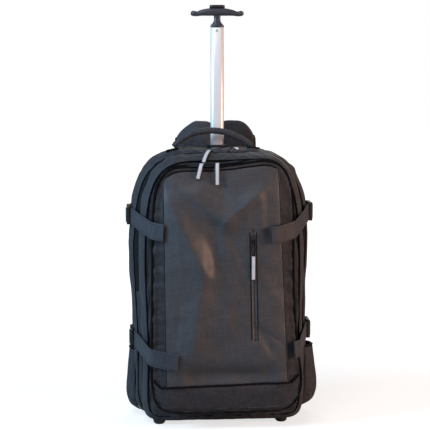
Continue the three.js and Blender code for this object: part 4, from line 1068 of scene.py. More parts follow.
def fine_face(x, z):
    """Height of the sharper folds and of soft tension lines, in metres outwards."""
    share = np.minimum(1, POCKET.share(x, z))
    folds = sum(height * ridge(x, z, x0 * POCKET.half, z0 * BODY_TOP, x1 * POCKET.half,
                               z1 * BODY_TOP, width * POCKET.half, sharp, FOLD_FADE)
                for x0, z0, x1, z1, width, height, sharp in FINE_FOLDS)
    spots = together(x, 0, z)
    slack = 0.0011 * ripples(spots, 9, 21) + 0.0004 * ripples(spots, 26, 22)
    return (folds + slack) * (1 - share**10)


def edge_drop(distance, reach_in, drop):
    """How far a turned edge dips: all of drop at the edge, nothing past reach_in."""
    return drop * np.clip(1 - distance / reach_in, 0, 1) ** 2


# The border of the face, in shares of the outline, runs under the panels and is tucked in
FACE_BORDER = [1.0, 0.995, 0.985, 0.972, 0.955, 0.935, 0.915, 0.89, 0.87, 0.85, 0.83, 0.8,
               0.76, 0.72]
TUCK, TUCK_START, TUCK_WIDTH = 0.0032, 0.975, 0.06
POCKET_RIPPLES = [(0.0008, 7, 20, (0.6, 0.6, 2.4)), (0.0004, 8, 55, (0.5, 0.5, 1.8))]
SIDE_ROWS, SIDE_END = 12, 0.001

pocket_ring = POCKET.ring()
side_depths = np.linspace(POCKET_REAR, POCKET_EDGE + SIDE_END, SIDE_ROWS)
pocket_side = ring_grid([(POCKET, 0.0, depth, 1.0) for depth in side_depths])
face_grid = []
for scale in FACE_BORDER:
    x = pocket_ring[:, 0] * scale
    z = POCKET.middle + (pocket_ring[:, 1] - POCKET.middle) * scale
    tucked = TUCK * np.clip((TUCK_START - scale) / TUCK_WIDTH, 0, 1)
    y = broad_face(x, z) - fine_face(x, z) + tucked
    face_grid.append(together(x, y, z))
pocket = np.concatenate([pocket_side, np.array(face_grid)])
for layer in POCKET_RIPPLES:
    pocket = wrinkled(pocket, *layer)
pocket_cloth = grid_object("pocket_cloth", pocket, True)
thicken(pocket_cloth, POCKET_WALL)
finish_piece(pocket_cloth, "bag", LOWER, "pocket_shell")
print("pocket:", len(pocket_cloth.data.polygons), "faces round it")

# %% [markdown]
# ### The two panels of the face
# The smooth panel and the darker cloth below it are cut flat and sewn over the stuffed
# pocket. Each one is a sheet whose two parameters run across and up, laid on the formula of
# the face. Draping a flat sheet over the pocket would be truer, but the seams would have to
# be held in place for it, and the folds would fall where they like.

# %% Front panel and lower panel
PANEL_LEFT, PANEL_RIGHT = (-0.80, -0.83), (0.93, 0.77)
PANEL_BOTTOM, PANEL_TOP = (0.163, 0.175), (0.948, 0.962)
FACE_MARGIN = 0.965
PANEL_SAG = 0.012
LOWER_SIDES = (-0.98, 1.09)
LOWER_SLANT = 0.024
PANEL_STAND = 0.0006
ZIP_X, ZIP_Z = (0.45, 0.415), (0.335, 0.722)
ZIP_GROOVE, ZIP_GROOVE_HALF = 0.0024, 0.0042


def blend_pair(pair, share):
    """First value of a pair at share 0, second one at share 1."""
    return pair[0] + (pair[1] - pair[0]) * share


def inside_face(x, z):
    """Draws a place towards the middle where it would pass the margin at the edge."""
    scale = np.minimum(1, FACE_MARGIN / POCKET.share(x, z))
    return x * scale, POCKET.middle + (z - POCKET.middle) * scale


def panel_foot(x):
    """Height of the seam between the two panels: a straight, slightly slanting line."""
    share = (x / POCKET.half - PANEL_LEFT[0]) / (PANEL_RIGHT[0] - PANEL_LEFT[0])
    return BODY_TOP * blend_pair(PANEL_BOTTOM, share)


def panel_place(u, v):
    """Place of the smooth panel: u runs across from its left side, v up from its foot. Its
    top side sags by a half sine."""
    x = POCKET.half * blend_pair((blend_pair(PANEL_LEFT, v), blend_pair(PANEL_RIGHT, v)), u)
    top = BODY_TOP * (blend_pair(PANEL_TOP, u) - PANEL_SAG * np.sin(np.pi * u))
    return inside_face(x, panel_foot(x) + (top - panel_foot(x)) * v)


def lower_place(u, v):
    """Place of the lower panel: u runs across and v up. Its ends rise in the last tenth."""
    x = POCKET.half * blend_pair(LOWER_SIDES, u)
    slant = LOWER_SLANT * BODY_TOP * np.maximum(0, (np.abs(2 * u - 1) - 0.9) / 0.1)
    return inside_face(x, POCKET_BOTTOM + (panel_foot(x) + slant - SEW_GAP - POCKET_BOTTOM) * v)


def zip_line(v):
    """Middle of the panel's upright zip from its lower end, v 0, to its upper end, v 1."""
    return POCKET.half * blend_pair(ZIP_X, v), BODY_TOP * blend_pair(ZIP_Z, v)


def zip_distance(x, z):
    """Distance from the line of the upright zip, with its two ends rounded off."""
    (x0, z0), (x1, z1) = zip_line(0.0), zip_line(1.0)
    dx, dz = x1 - x0, z1 - z0
    share = np.clip(((x - x0) * dx + (z - z0) * dz) / (dx * dx + dz * dz), 0, 1)
    return np.hypot(x - x0 - share * dx, z - z0 - share * dz)


def panel_y(x, z):
    """Depth of the panel's outside without its turned edges: it sinks along the zip."""
    groove = ZIP_GROOVE * np.exp(-((zip_distance(x, z) / ZIP_GROOVE_HALF) ** 4))
    return broad_face(x, z) - fine_face(x, z) - PANEL_STAND + groove


def flat_size(grid):
    """Size that a sheet was cut to: its longest width and length, and its area."""
    width = np.linalg.norm(np.diff(grid, axis=1), axis=2).sum(axis=1).max()
    length = np.linalg.norm(np.diff(grid, axis=0), axis=2).sum(axis=0).max()
    cells = np.cross(grid[1:, 1:] - grid[:-1, :-1], grid[1:, :-1] - grid[:-1, 1:])
    area = np.linalg.norm(cells, axis=2).sum() / 2
    return (round(float(width), 4), round(float(length), 4)), round(float(area), 5)


def face_sheet(name, place, columns, rows, edge, drop):
    """Sheet that follows the pocket's face, with edges that are turned under."""
    u, v = np.meshgrid(np.linspace(0, 1, columns), np.linspace(0, 1, rows))
    x, z = place(u, v)
    to_side = np.minimum(np.minimum(u, 1 - u) * np.ptp(x), np.minimum(v, 1 - v) * np.ptp(z))
    y = panel_y(x, z) + edge_drop(to_side, edge, drop)
    grid = together(x, y, z)
    return grid_object(name, grid, facing=(0, -1, 0)), flat_size(grid)


front_panel, (panel_size, panel_area) = face_sheet(
    "front_panel_cloth", panel_place, columns=170, rows=260, edge=0.004, drop=0.0012)
lower_panel, (lower_size, lower_area) = face_sheet(
    "lower_panel_cloth", lower_place, columns=170, rows=44, edge=0.003, drop=0.0010)
for obj, node, cloth in ((front_panel, "front_panel", PANEL), (lower_panel, "lower_panel", LOWER)):
    thicken(obj, PANEL_WALL)
    finish_piece(obj, "bag", cloth, node)
print("the panels were cut to", panel_size, "and", lower_size, "metres")

# %% [markdown]
# ### Piping and stitches
# Piping is a cord wrapped in cloth and sewn into a seam. Here it lies along the seam
# between the smooth panel and the darker lower one, and a thin welt frames the pocket. Both
# are beads along a path. Stitches are short beads, all of them one mesh, because a bump
# texture would lose them where the cloth bends away.

# %% Piping, welts and seam stitches


def on_face(x, z, stand=0.0):
    """Places on the pocket's face, this far outside the panel."""
    return together(x, panel_y(x, z) - stand, z)


def bead(name, path, radius, finish, node):
    """Round cord along a path that runs more sideways than up, or straight up."""
    obj = sweep(name, path, oval(2 * radius, 2 * radius, BEAD_CORNERS), (0, 0, 1))
    finish_piece(obj, "bag", finish, node)
    return obj


BEAD_CORNERS = 8
PIPING_RADIUS, PIPING_STAND = 0.0017, 0.0004
SEAM_RADIUS, SEAM_SHIFT, SEAM_END = 0.0009, 0.0008, 0.01
TOP_SEAM_RADIUS, TOP_SEAM_SHIFT = 0.0013, 0.0012

full_run = np.linspace(0, 1, 240)
short_run = np.linspace(SEAM_END, 1 - SEAM_END, 240)
seam_x, seam_z = lower_place(full_run, 1.0)
bead("seam_piping", on_face(seam_x, seam_z, PIPING_STAND), PIPING_RADIUS, PIPING, "lower_panel")
for share, seam_side, label in ((0.0, -1, "left"), (1.0, 1, "right")):
    seam_x, seam_z = panel_place(share, short_run)
    bead(f"panel_{label}_seam", on_face(seam_x + seam_side * SEAM_SHIFT, seam_z), SEAM_RADIUS, LOWER,
         "front_panel")
seam_x, seam_z = panel_place(full_run, 1.0)
bead("panel_top_seam", on_face(seam_x, seam_z + TOP_SEAM_SHIFT), TOP_SEAM_RADIUS, PIPING,
     "front_panel")


def ring_piping(name, outline, inset, depth, radius, node):
    """Piping that runs all the way round an outline at one depth."""
    flat = outline.ring(inset)
    path = together(flat[:, 0], depth, flat[:, 1])
    obj = sweep(name, path, oval(2 * radius, 2 * radius, BEAD_CORNERS), (0, 1, 0), closed=True)
    finish_piece(obj, "bag", PIPING, node)


# Name, outline, inset, depth, radius and solid of each closed piping
RING_PIPINGS = [
    ("pocket_edge_piping", POCKET, -0.0002, POCKET_EDGE - 0.0006, 0.0019, "pocket_shell"),
    ("pocket_zip_welt", POCKET, -0.0006, POCKET_REAR + 0.0006, 0.0016, "pocket_shell"),
    ("main_front_welt", MAIN, 0.55 * MAIN_CORNER, -0.0618, 0.0015, "main_shell"),
    ("main_rim_welt", MAIN, 0.0012, RIM_MAIN - 0.0008, 0.0015, "main_shell"),
    ("rear_rim_welt", REAR, REAR_CORNER / 2, RIM_REAR + 0.0008, 0.0015, "rear_shell"),
]
for ring_values in RING_PIPINGS:
    ring_piping(*ring_values)


STITCH_PITCH, STITCH_LENGTH, STITCH_RADIUS = 0.0034, 0.0024, 0.00026
STITCH_ROWS, STITCH_CORNERS, PITCH_STEPS = 5, 5, 8
FRONT = (0, -1, 0)


def dashes(name, path, node, pitch=STITCH_PITCH, length=STITCH_LENGTH, outward=FRONT):
    """A row of stitches: short beads along a path. Each one sinks by radius * (2 share)^2
    towards its ends and gets thinner there, like 1 - 0.8 (2 share)^4."""
    radius = STITCH_RADIUS
    total = np.linalg.norm(np.diff(path, axis=0), axis=1).sum()
    count = int(total / pitch)
    fine = evenly(path, count * PITCH_STEPS)
    along = unit(np.gradient(fine, axis=0))
    outward = unit(np.broadcast_to(np.asarray(outward, float), fine.shape))
    sideways = np.cross(along, outward)
    starts = np.arange(count) * PITCH_STEPS
    share = np.linspace(-0.5, 0.5, STITCH_ROWS)
    centre = fine[starts][:, None] + along[starts][:, None] * (share * length)[None, :, None]
    sink = radius * (4 * share**2)
    centre = centre - outward[starts][:, None] * sink[None, :, None]
    angle = np.arange(STITCH_CORNERS) * 2 * np.pi / STITCH_CORNERS
    ring = (sideways[starts][:, None, None] * np.cos(angle)[None, None, :, None]
            + outward[starts][:, None, None] * np.sin(angle)[None, None, :, None])
    thick = radius * (1 - 0.8 * (2 * share) ** 4)
    points = centre[:, :, None] + ring * thick[None, :, None, None]
    one_stitch = STITCH_ROWS * STITCH_CORNERS
    first = (np.arange(count) * one_stitch)[:, None, None]
    faces = (grid_faces(STITCH_ROWS, STITCH_CORNERS, True)[None] + first).reshape(-1, 4)
    lid = np.arange(STITCH_CORNERS)
    lids = np.stack([lid[::-1], lid + one_stitch - STITCH_CORNERS])
    lids = (lids[None] + first).reshape(-1, STITCH_CORNERS)
    face_map = np.zeros((faces.size + lids.size, 2))
    obj = mesh_object(name, points.reshape(-1, 3) + BAG, [faces[:, ::-1], lids[:, ::-1]], face_map)
    finish_piece(obj, "bag", THREAD, node)
    return obj


STITCH_STAND = 0.0001
PANEL_INSETS = (0.014, 0.007)
LOWER_INSET, LOWER_STITCH_HEIGHT = 0.03, 0.92


def panel_edge_line(u, v):
    """Line of stitches near a side of the smooth panel, kept in from its corners."""
    inset_u, inset_v = PANEL_INSETS
    inside_u = np.clip(u, inset_u, 1 - inset_u)
    inside_v = np.clip(v, inset_v, 1 - inset_v)
    return on_face(*panel_place(inside_u, inside_v), STITCH_STAND)


line = np.linspace(0, 1, 300)
PANEL_SIDES = {"left": (0 * line, line), "right": (0 * line + 1, line),
               "top": (line, 0 * line + 1), "bottom": (line, 0 * line)}
for label, (u, v) in PANEL_SIDES.items():
    dashes(f"panel_stitches_{label}", panel_edge_line(u, v), "front_panel")
lower_u = line * (1 - 2 * LOWER_INSET) + LOWER_INSET
dashes("lower_panel_stitches", on_face(*lower_place(lower_u, LOWER_STITCH_HEIGHT), STITCH_STAND),
       "lower_panel")
print("piping and stitches")

# %% [markdown]
# ### The upright zip
# A short zip opens the smooth panel. The panel sinks along it, and a lip of piping covers
# each side of the tape. Its coil is a finer ridge than those of the two large zips. Cutting
# the panel open for it would change nothing that shows, because the zip is shut.

# %% Upright zip of the panel
NAMES = {-1: "left", 1: "right"}
TAPE_HALF, TAPE_RISE, COIL_RISE, COIL_SHARE, THIN_TAPE = 0.0048, 0.0012, 0.0008, 0.2, 0.0005
FINE_TOOTH, FINE_COIL_RADIUS, FINE_COIL_WIDTH = 0.002, 0.0007, 0.0018
LIP_PLACE, LIP_SINK, LIP_RADIUS, LIP_STITCHES = 0.0056, 0.0002, 0.0011, 0.0078

zip_x, zip_z = zip_line(np.linspace(0, 1, 180))
tape_u = np.linspace(-1, 1, 9)[None]
tape_x, tape_z = zip_x[:, None] + TAPE_HALF * tape_u, zip_z[:, None] + 0 * tape_u
tape_y = panel_y(tape_x, tape_z) - TAPE_RISE + COIL_RISE * np.exp(-((tape_u / COIL_SHARE) ** 2))
panel_tape = grid_object("panel_zip_tape", together(tape_x, tape_y, tape_z), facing=FRONT)
thicken(panel_tape, THIN_TAPE)
finish_piece(panel_tape, "bag", PANEL, "panel_zip")
fine_coil = teeth_line(on_face(zip_x, zip_z), FINE_TOOTH, FINE_COIL_RADIUS, (1, 0, 0), FINE_COIL_WIDTH)
panel_coil = grid_object("panel_zip_coil", fine_coil, True, capped=(0, -1))
finish_piece(panel_coil, "bag", COIL, "panel_zip")
for side in (-1, 1):
    lip = on_face(zip_x + side * LIP_PLACE, zip_z, -LIP_SINK)
    bead(f"panel_zip_lip_{NAMES[side]}", lip, LIP_RADIUS, PIPING, "panel_zip")
    stitches = on_face(zip_x + side * LIP_STITCHES, zip_z, STITCH_STAND)
    dashes(f"panel_zip_stitches_{NAMES[side]}", stitches, "panel_zip")
print("panel zip")

# %% [markdown]
# ## Side pouches
# A cloth pouch on each side is gathered by an elastic hem. It is a bulge over the side of
# the bag that closes in towards its mouth, with slanting folds from the pull. It could be a
# flat sheet that a simulation gathers. The formula gives the same bulge in far less time,
# and the pouch always meets the bag along its edges.

# %% Side pouches
POUCH_LOW, POUCH_HIGH = 0.013, 0.134
POUCH_FRONT, POUCH_REAR = 0.004, 0.052
POUCH_SINK = 0.0004
# Start and lean of each slanting fold, in shares of the pouch's width
POUCH_FOLDS = [(-0.25, 0.5), (0.1, 0.35), (0.35, 0.3), (0.6, 0.25), (0.95, -0.3)]
FOLD_HEIGHT, FOLD_FOOT, FOLD_WIDTH, FOLD_SHARP = 0.0030, 0.12, 0.07, 1.4
GATHER_HEIGHT, GATHER_WAVES, GATHER_START = 0.0007, 60, 0.8
HEM_RADIUS, HEM_OUT, HEM_DROP = 0.0016, 0.0002, 0.002
POUCH_BULGE = {-1: 0.017, 1: 0.030}
POUCH_PROFILE = smooth_table([(0, 0.50), (0.05, 0.80), (0.15, 0.99), (0.35, 1), (0.7, 0.80),
                              (1, 0.56)])


def outline_x(outline, side, z):
    """Half width of an outline at a height."""
    up = (z - outline.middle) / (outline.high - outline.middle)
    power = np.where(up > 0, *outline.powers)
    column = 2 if side > 0 else 1
    width = (1 - np.minimum(1, np.abs(up)) ** power) ** (1 / power)
    return width * outline.half * read_table(outline.sides, (up + 1) / 2, column)


def pouch(side):
    """Pouch on one side: bulge * sin(pi share)^0.55 across, its profile up, less the folds
    and, near the mouth, a fine wave where the hem gathers it."""
    share, height = np.meshgrid(np.linspace(0, 1, 70), np.linspace(0, 1, 90))
    z = POUCH_LOW + (POUCH_HIGH - POUCH_LOW) * height
    y = POUCH_FRONT + (POUCH_REAR - POUCH_FRONT) * share
    swell = np.sin(np.pi * share) ** 0.55
    out = POUCH_BULGE[side] * swell * read_table(POUCH_PROFILE, height)
    folds = sum(FOLD_HEIGHT * ridge(share, height, start, 1.0, start + lean, FOLD_FOOT, FOLD_WIDTH,
                                    FOLD_SHARP) for start, lean in POUCH_FOLDS)
    near_mouth = np.clip((height - GATHER_START) / (1 - GATHER_START), 0, 1)
    gather = GATHER_HEIGHT * np.sin(share * GATHER_WAVES) * near_mouth
    turned_in = REAR_CORNER * np.interp((y - RIM_REAR) / (BACK - RIM_REAR), *np.transpose(REAR_SECTIONS))
    lift = np.maximum(out - POUCH_SINK, POUCH_SINK) - folds * swell - gather
    x = side * (outline_x(REAR, side, z) - turned_in + lift)
    grid = together(x, y, z)
    obj = grid_object(f"pouch_{NAMES[side]}", grid, facing=(side, 0, 0))
    thicken(obj, PANEL_WALL)
    finish_piece(obj, "bag", POUCH, f"side_pocket_{NAMES[side]}")
    hem = together(x[-1] + side * HEM_OUT, y[-1], z[-1] - HEM_DROP)
    bead(f"pouch_hem_{NAMES[side]}", hem, HEM_RADIUS, PIPING, f"side_pocket_{NAMES[side]}")


for side in (-1, 1):
    pouch(side)

# %% [markdown]
# ## Harness
# The back pad and the shoulder straps are foam between cloth and spacer mesh. A padded
# piece is thick in its middle and thin at its bound edge. It is one closed skin, a front
# grid and a rear grid that share a border, so that it holds its thickness from every side.
# A sheet with a wall would have the same thickness everywhere and look like felt. The
# straps rise over the top of the bag, and their bends show behind it.

# %% Back pad and shoulder straps
pad_low, pad_high = reach("back_pad")
PAD_CHANNEL, CHANNEL_DEPTH = 0.14, 0.45
QUILT_ROWS, QUILT_DEPTH, QUILT_WIDTH = 3, 0.10, 0.07
PAD_EDGE = 0.25


def pad_face(u, v):
    """How far the pad's rear face stands out, 0 to 1: rounded edges and a middle channel,
    with quilted rows across."""
    edge = (1 - u**8) * (1 - v**10)
    channel = CHANNEL_DEPTH * np.exp(-((u / PAD_CHANNEL) ** 2))
    quilt = QUILT_DEPTH * np.exp(-((np.mod(v * QUILT_ROWS + 0.5, 1) - 0.5) / QUILT_WIDTH) ** 2)
    return PAD_EDGE + (1 - PAD_EDGE) * np.sqrt(np.maximum(edge, 0)) * (1 - channel - quilt)


def padded_sheet(name, front, rear, cloth, node):
    """Closed pad between a front grid and a rear grid with the same border."""
    skin = np.concatenate([front, rear[:, ::-1]], axis=1)
    obj = grid_object(name, skin, True, capped=(0, -1))
    finish_piece(obj, "bag", cloth, node)


u, v = np.meshgrid(np.linspace(-1, 1, 80), np.linspace(-1, 1, 120))
pad_x = u * (pad_high[0] - pad_low[0]) / 2
pad_z = (pad_low[2] + pad_high[2]) / 2 + v * (pad_high[2] - pad_low[2]) / 2
pad_rear = pad_low[1] + (pad_high[1] - pad_low[1]) * pad_face(u, v)
padded_sheet("back_pad_foam", together(pad_x, pad_low[1], pad_z), together(pad_x, pad_rear, pad_z),
             MESH, "back_pad")

STRAP_WIDTH, STRAP_DEPTH, STRAP_MIDDLE = 0.066, 0.013, 0.043
STRAP_FOOT, HUMP_TOP = 0.205, 0.565
PAD_REAR, STRAP_LINE = 0.08635, 0.10485
# The left bend shows its cloth and the right one its darker mesh lining. The right strap is made all of
# that mesh, so its darkness is partly painted shade on that bend.
STRAP_CLOTH_AND_SHADE = {-1: HARNESS, 1: MESH}
# How far the outer edge falls at the top, where that starts (share inwards) and how round
HUMP_FALL = {-1: (0.034, 0.2, 1.4), 1: (0.028, 0.0, 2.0)}
STRAP_EDGE, STRAP_WAVE, STRAP_WAVES, STRAP_SEED = 0.35, 0.0005, 30, 30
BINDING_RADIUS = 0.0026
# Shares of the strap's width, of the depth from the pad to its line, and of its height
STRAP_ROWS = np.array([(0, -0.41, 0.812), (0, -0.32, 0.905), (0, 0.11, 0.961), (0, 0.7, 0.982),
                       (0, 0.95, 0.964), (0, 1, 0.889), (0, 1, 0.625), (0.18, 1, 0.347),
                       (0.39, 1, 0.097), (0.515, 0.78, 0)])


def strap_path(count):
    """Middle line of a shoulder strap, from its seat over the top and down to its foot."""
    across, depth, height = STRAP_ROWS.T
    spots = together(across * STRAP_WIDTH, PAD_REAR + (STRAP_LINE - PAD_REAR) * depth,
                     STRAP_FOOT + (HUMP_TOP - STRAP_FOOT) * height)
    return smooth_path(spots, count)


def shoulder_strap(side):
    """Padded strap: thickness 0.35 + 0.65 (1 - u^6) across it, and above the bag its outer
    edge falls by the share of the height, times a power of the place across."""
    path = strap_path(150)
    along = unit(np.gradient(path, axis=0))
    out = unit(np.cross([1.0, 0, 0], along))
    u = np.linspace(-1, 1, 41)[None]
    thick = STRAP_DEPTH / 2 * (STRAP_EDGE + (1 - STRAP_EDGE) * (1 - u**6))
    z = path[:, 2:3]
    fall, lead_in, power = HUMP_FALL[side]
    outward = (np.maximum(0, u + lead_in) / (1 + lead_in)) ** power
    drop = fall * np.maximum(0, (z - BODY_TOP) / (HUMP_TOP - BODY_TOP)) * outward
    x = side * (STRAP_MIDDLE + path[:, :1] + u * STRAP_WIDTH / 2)
    faces = []
    for face in (1, -1):
        wave = STRAP_WAVE * ripples(together(x, 0, z), STRAP_WAVES, STRAP_SEED + face)
        half = (thick + wave) * face
        faces.append(together(x, path[:, 1:2] + out[:, 1:2] * half, z + out[:, 2:] * half - drop))
    node = f"shoulder_strap_{NAMES[side]}"
    padded_sheet(node + "_foam", faces[0], faces[1], STRAP_CLOTH_AND_SHADE[side], node)
    for edge, label in ((0, "inner"), (-1, "outer")):
        rim = (faces[0][:, edge] + faces[1][:, edge]) / 2
        bead(f"strap_binding_{NAMES[side]}_{label}", rim[2:-2], BINDING_RADIUS, PIPING, node)


for side in (-1, 1):
    shoulder_strap(side)
print("back pad and shoulder straps")

# %% [markdown]
# ### Webbing below the shoulder straps
# From the foot of each shoulder strap a webbing runs to the lower corner of the bag, with
# a little slack. It is a flat profile carried along a path of three points. Its lead, the
# direction that its width keeps to, slants outwards, so that the band does not twist.

# %% Webbing below the shoulder straps
BAND_CORNERS, BAND_POWER = 28, 6
LOWER_WEB_WIDTH, WEB_WALL = 0.024, 0.002
WEB_START_SHIFT = np.array([0.001, -0.001, -0.005])
WEB_END = (0.134, 0.0742, 0.074)
SLACK_SHARE, WEB_SLACK = 0.55, np.array([0, 0.009, -0.0045])
WEB_SLANT = 0.6


def flat_band(name, path, width, wall, lead, cloth, node):
    """Flat strap with slightly rounded edges along a path. Its map runs across in metres."""
    obj = sweep(name, path, oval(width, wall, BAND_CORNERS, BAND_POWER), lead)
    finish_piece(obj, "bag", cloth, node)


for side in (-1, 1):
    foot = strap_path(50)[-1] + WEB_START_SHIFT
    start = np.array([side * (STRAP_MIDDLE + foot[0]), foot[1], foot[2]])
    end = np.array([side * WEB_END[0], WEB_END[1], WEB_END[2]])
    middle = start + (end - start) * SLACK_SHARE + WEB_SLACK
    node = f"strap_webbing_{NAMES[side]}"
    flat_band(node + "_band", smooth_path([start, middle, end], 120), LOWER_WEB_WIDTH, WEB_WALL,
              (side, 0, WEB_SLANT), WEBBING, node)
print("lower webbing")

# %% [markdown]
# ## Grab handle
# A roll of foam in cloth, sewn down flat at both ends. Its cloth is gathered, so it shows
# short wrinkles round the roll. A tube of even width would do for the form, and two waves
# that multiply its width bring the wrinkles, unevenly spaced as they are on the real roll.

# %% Grab handle
# Shares of the handle's half length and of its rise above the bag
GRAB_ROWS = [(-1, 0.1), (-0.86, 0.4), (-0.53, 0.84), (-0.2, 0.99), (0.07, 1), (0.33, 0.9),
             (0.62, 0.64), (0.86, 0.34), (1, 0.1)]
GRAB_MIDDLE, GRAB_HALF, GRAB_Y, GRAB_RADIUS, GRAB_TOP = -0.010, 0.075, 0.017, 0.006, 0.556
GRAB_WRINKLE, WRINKLE_WAVES, GRAB_THINNING = 0.05, (190, 47), 0.22
TAB_HALF, TAB_SHIFT, TAB_LIFT, TAB_WIDTH, TAB_WALL = 0.012, 0.002, 0.0024, 0.013, 0.003
GRAB_SEAM = np.array([0, -0.0052, -0.003])
grab = [(GRAB_MIDDLE + a * GRAB_HALF, GRAB_Y, BODY_TOP + up * (GRAB_TOP - GRAB_RADIUS - BODY_TOP))
        for a, up in GRAB_ROWS]
grab_path = smooth_path(grab, 260)
grab_share = np.linspace(0, 1, 260)
wrinkles = np.sin(grab_share * WRINKLE_WAVES[0]) * np.sin(grab_share * WRINKLE_WAVES[1])
grab_size = 1 + GRAB_WRINKLE * wrinkles - GRAB_THINNING * (2 * grab_share - 1) ** 12
grab_roll = sweep("grab_roll", grab_path, oval(2 * GRAB_RADIUS, 2 * GRAB_RADIUS), (0, 1, 0),
                  widths=grab_size)
finish_piece(grab_roll, "bag", HARNESS, "grab_handle")
for side in (-1, 1):
    tab_x = GRAB_MIDDLE + side * (GRAB_HALF + TAB_SHIFT) + np.linspace(-TAB_HALF, TAB_HALF, 30)
    power = REAR.powers[0]
    up = (1 - np.abs(tab_x / REAR.half) ** power) ** (1 / power)
    tab_z = REAR.middle + up * (BODY_TOP - REAR.middle) + TAB_LIFT
    tab = together(tab_x, GRAB_Y, tab_z)
    flat_band(f"grab_tab_{NAMES[side]}", tab, TAB_WIDTH, TAB_WALL, (0, 1, 0), PIPING, "grab_handle")
dashes("grab_stitches", (grab_path + GRAB_SEAM)[8:-8], "grab_handle", pitch=0.0036, length=0.0025,
       outward=(0, -0.85, -0.5))
print("grab handle")

# %% [markdown]
# ## Telescopic handle
# The post is a drawn aluminium tube with flat faces and round edges. It slides in a collar
# on the bag. The grip is moulded plastic: a neck that narrows and spreads into a bar with
# drooping ends, and a button in its top. All of them are stacks of sections. Cutting tubes
# out of blocks would leave sharp edges, while a section can turn over a rounded rim.

# %% Post and collar
TUBE_WIDTH, TUBE_DEPTH, TUBE_WALL = 0.0255, 0.017, 0.0014
TUBE_TOP = tube_high.z
POST_CHAMFER, COLLAR_CHAMFER = 0.0004, 0.0015
COLLAR_WALL, SLIDE = 0.006, 0.0005
RIVET_X, RIVET_BELOW, RIVET_RADIUS, RIVET_RISE, RIVET_SINK = -0.0014, 0.006, 0.0026, 0.00045, 0.0001
RIVET_CORNERS = 28
# Share of the rivet's radius and of its rise, from its foot to its top
RIVET_DOME = [(1.0, 0.0), (1.0, 0.45), (0.9, 0.75), (0.65, 0.93), (0.3, 1.0)]


def stadium(width, depth, count=48):
    """Outline of a flat tube with round edges, seen from above."""
    angle = 2 * np.pi * (np.arange(count) + 0.5) / count
    flat = (width - depth) / 2
    x = np.sign(np.cos(angle)) * flat + depth / 2 * np.cos(angle)
    return together(x, depth / 2 * np.sin(angle))


def level_grid(levels):
    """Grid of level sections round the post: rows of (height, section of x and y)."""
    return np.array([together(section[:, 0], section[:, 1] + TUBE_BEHIND, z) for z, section in levels])


def upright(name, levels, body, finish, node):
    """Closed solid from level sections, with a lid at each end."""
    obj = grid_object(name, level_grid(levels), True, capped=(0, -1))
    finish_piece(obj, body, finish, node)


def hollow_levels(outside, inside, low, high, chamfer):
    """Sections of a tube from inside low up, over the top and down outside."""
    narrow = (outside[0] - 2 * chamfer, outside[1] - 2 * chamfer)
    return [(low, stadium(*inside)), (high, stadium(*inside)), (high, stadium(*narrow)),
            (high - chamfer, stadium(*outside)), (low + chamfer, stadium(*outside)),
            (low, stadium(*narrow))]


def ring_solid(name, levels, body, finish, node):
    """Tube whose sections run round its wall and close on themselves."""
    obj = merge_doubles(grid_object(name, level_grid(levels + levels[:1]), True))
    finish_piece(obj, body, finish, node)


def grown(extra):
    """Width and depth of the post, grown by this much."""
    return TUBE_WIDTH + extra, TUBE_DEPTH + extra


post_levels = hollow_levels(grown(0), grown(-2 * TUBE_WALL), tube_low.z, TUBE_TOP, POST_CHAMFER)
ring_solid("post", post_levels, "handle", ALUMINIUM, "inner_tube")
collar_low, collar_high = reach("tube_collar")
collar_levels = hollow_levels(grown(2 * COLLAR_WALL), grown(2 * SLIDE), collar_low[2], collar_high[2],
                              COLLAR_CHAMFER)
ring_solid("collar", collar_levels, "bag", BLACK, "tube_collar")

rivet_angle = 2 * np.pi * np.arange(RIVET_CORNERS) / RIVET_CORNERS
rivet_face = TUBE_BEHIND - TUBE_DEPTH / 2 + RIVET_SINK
rivet_rows = [together(RIVET_X + RIVET_RADIUS * share * np.cos(rivet_angle),
                       rivet_face - RIVET_RISE * rise,
                       TUBE_TOP - RIVET_BELOW + RIVET_RADIUS * share * np.sin(rivet_angle))
              for share, rise in RIVET_DOME]
rivet = grid_object("post_rivet", np.array(rivet_rows), True, capped=(0, -1))
finish_piece(rivet, "handle", STEEL, "inner_tube")

# %% [markdown]
# ### Grip and button
# The neck narrows above the post and spreads again under the bar. The bar is one row of
# sections from end to end, thicker in its middle, so that its ends can droop. Joining three
# plain blocks would leave two hard joints where the hand lies.

# %% Grip and button
grip_low, grip_high = reach("handle_grip")
GRIP_TOP, GRIP_HEIGHT, GRIP_WIDTH, GRIP_DEPTH = grip_high[2], 0.015, grip_high[0] - grip_low[0], 0.022
NECK_GAP, GRIP_POWER, GRIP_CORNERS = 0.00035, 2.5, 40
# Share of the height, half width and half depth in the post's width and depth
NECK_ROWS = [(0, 0.5, 0.5), (0.12, 0.5, 0.5), (0.32, 0.3, 0.42), (0.55, 0.24, 0.38),
             (0.8, 0.28, 0.42), (1, 0.42, 0.5)]
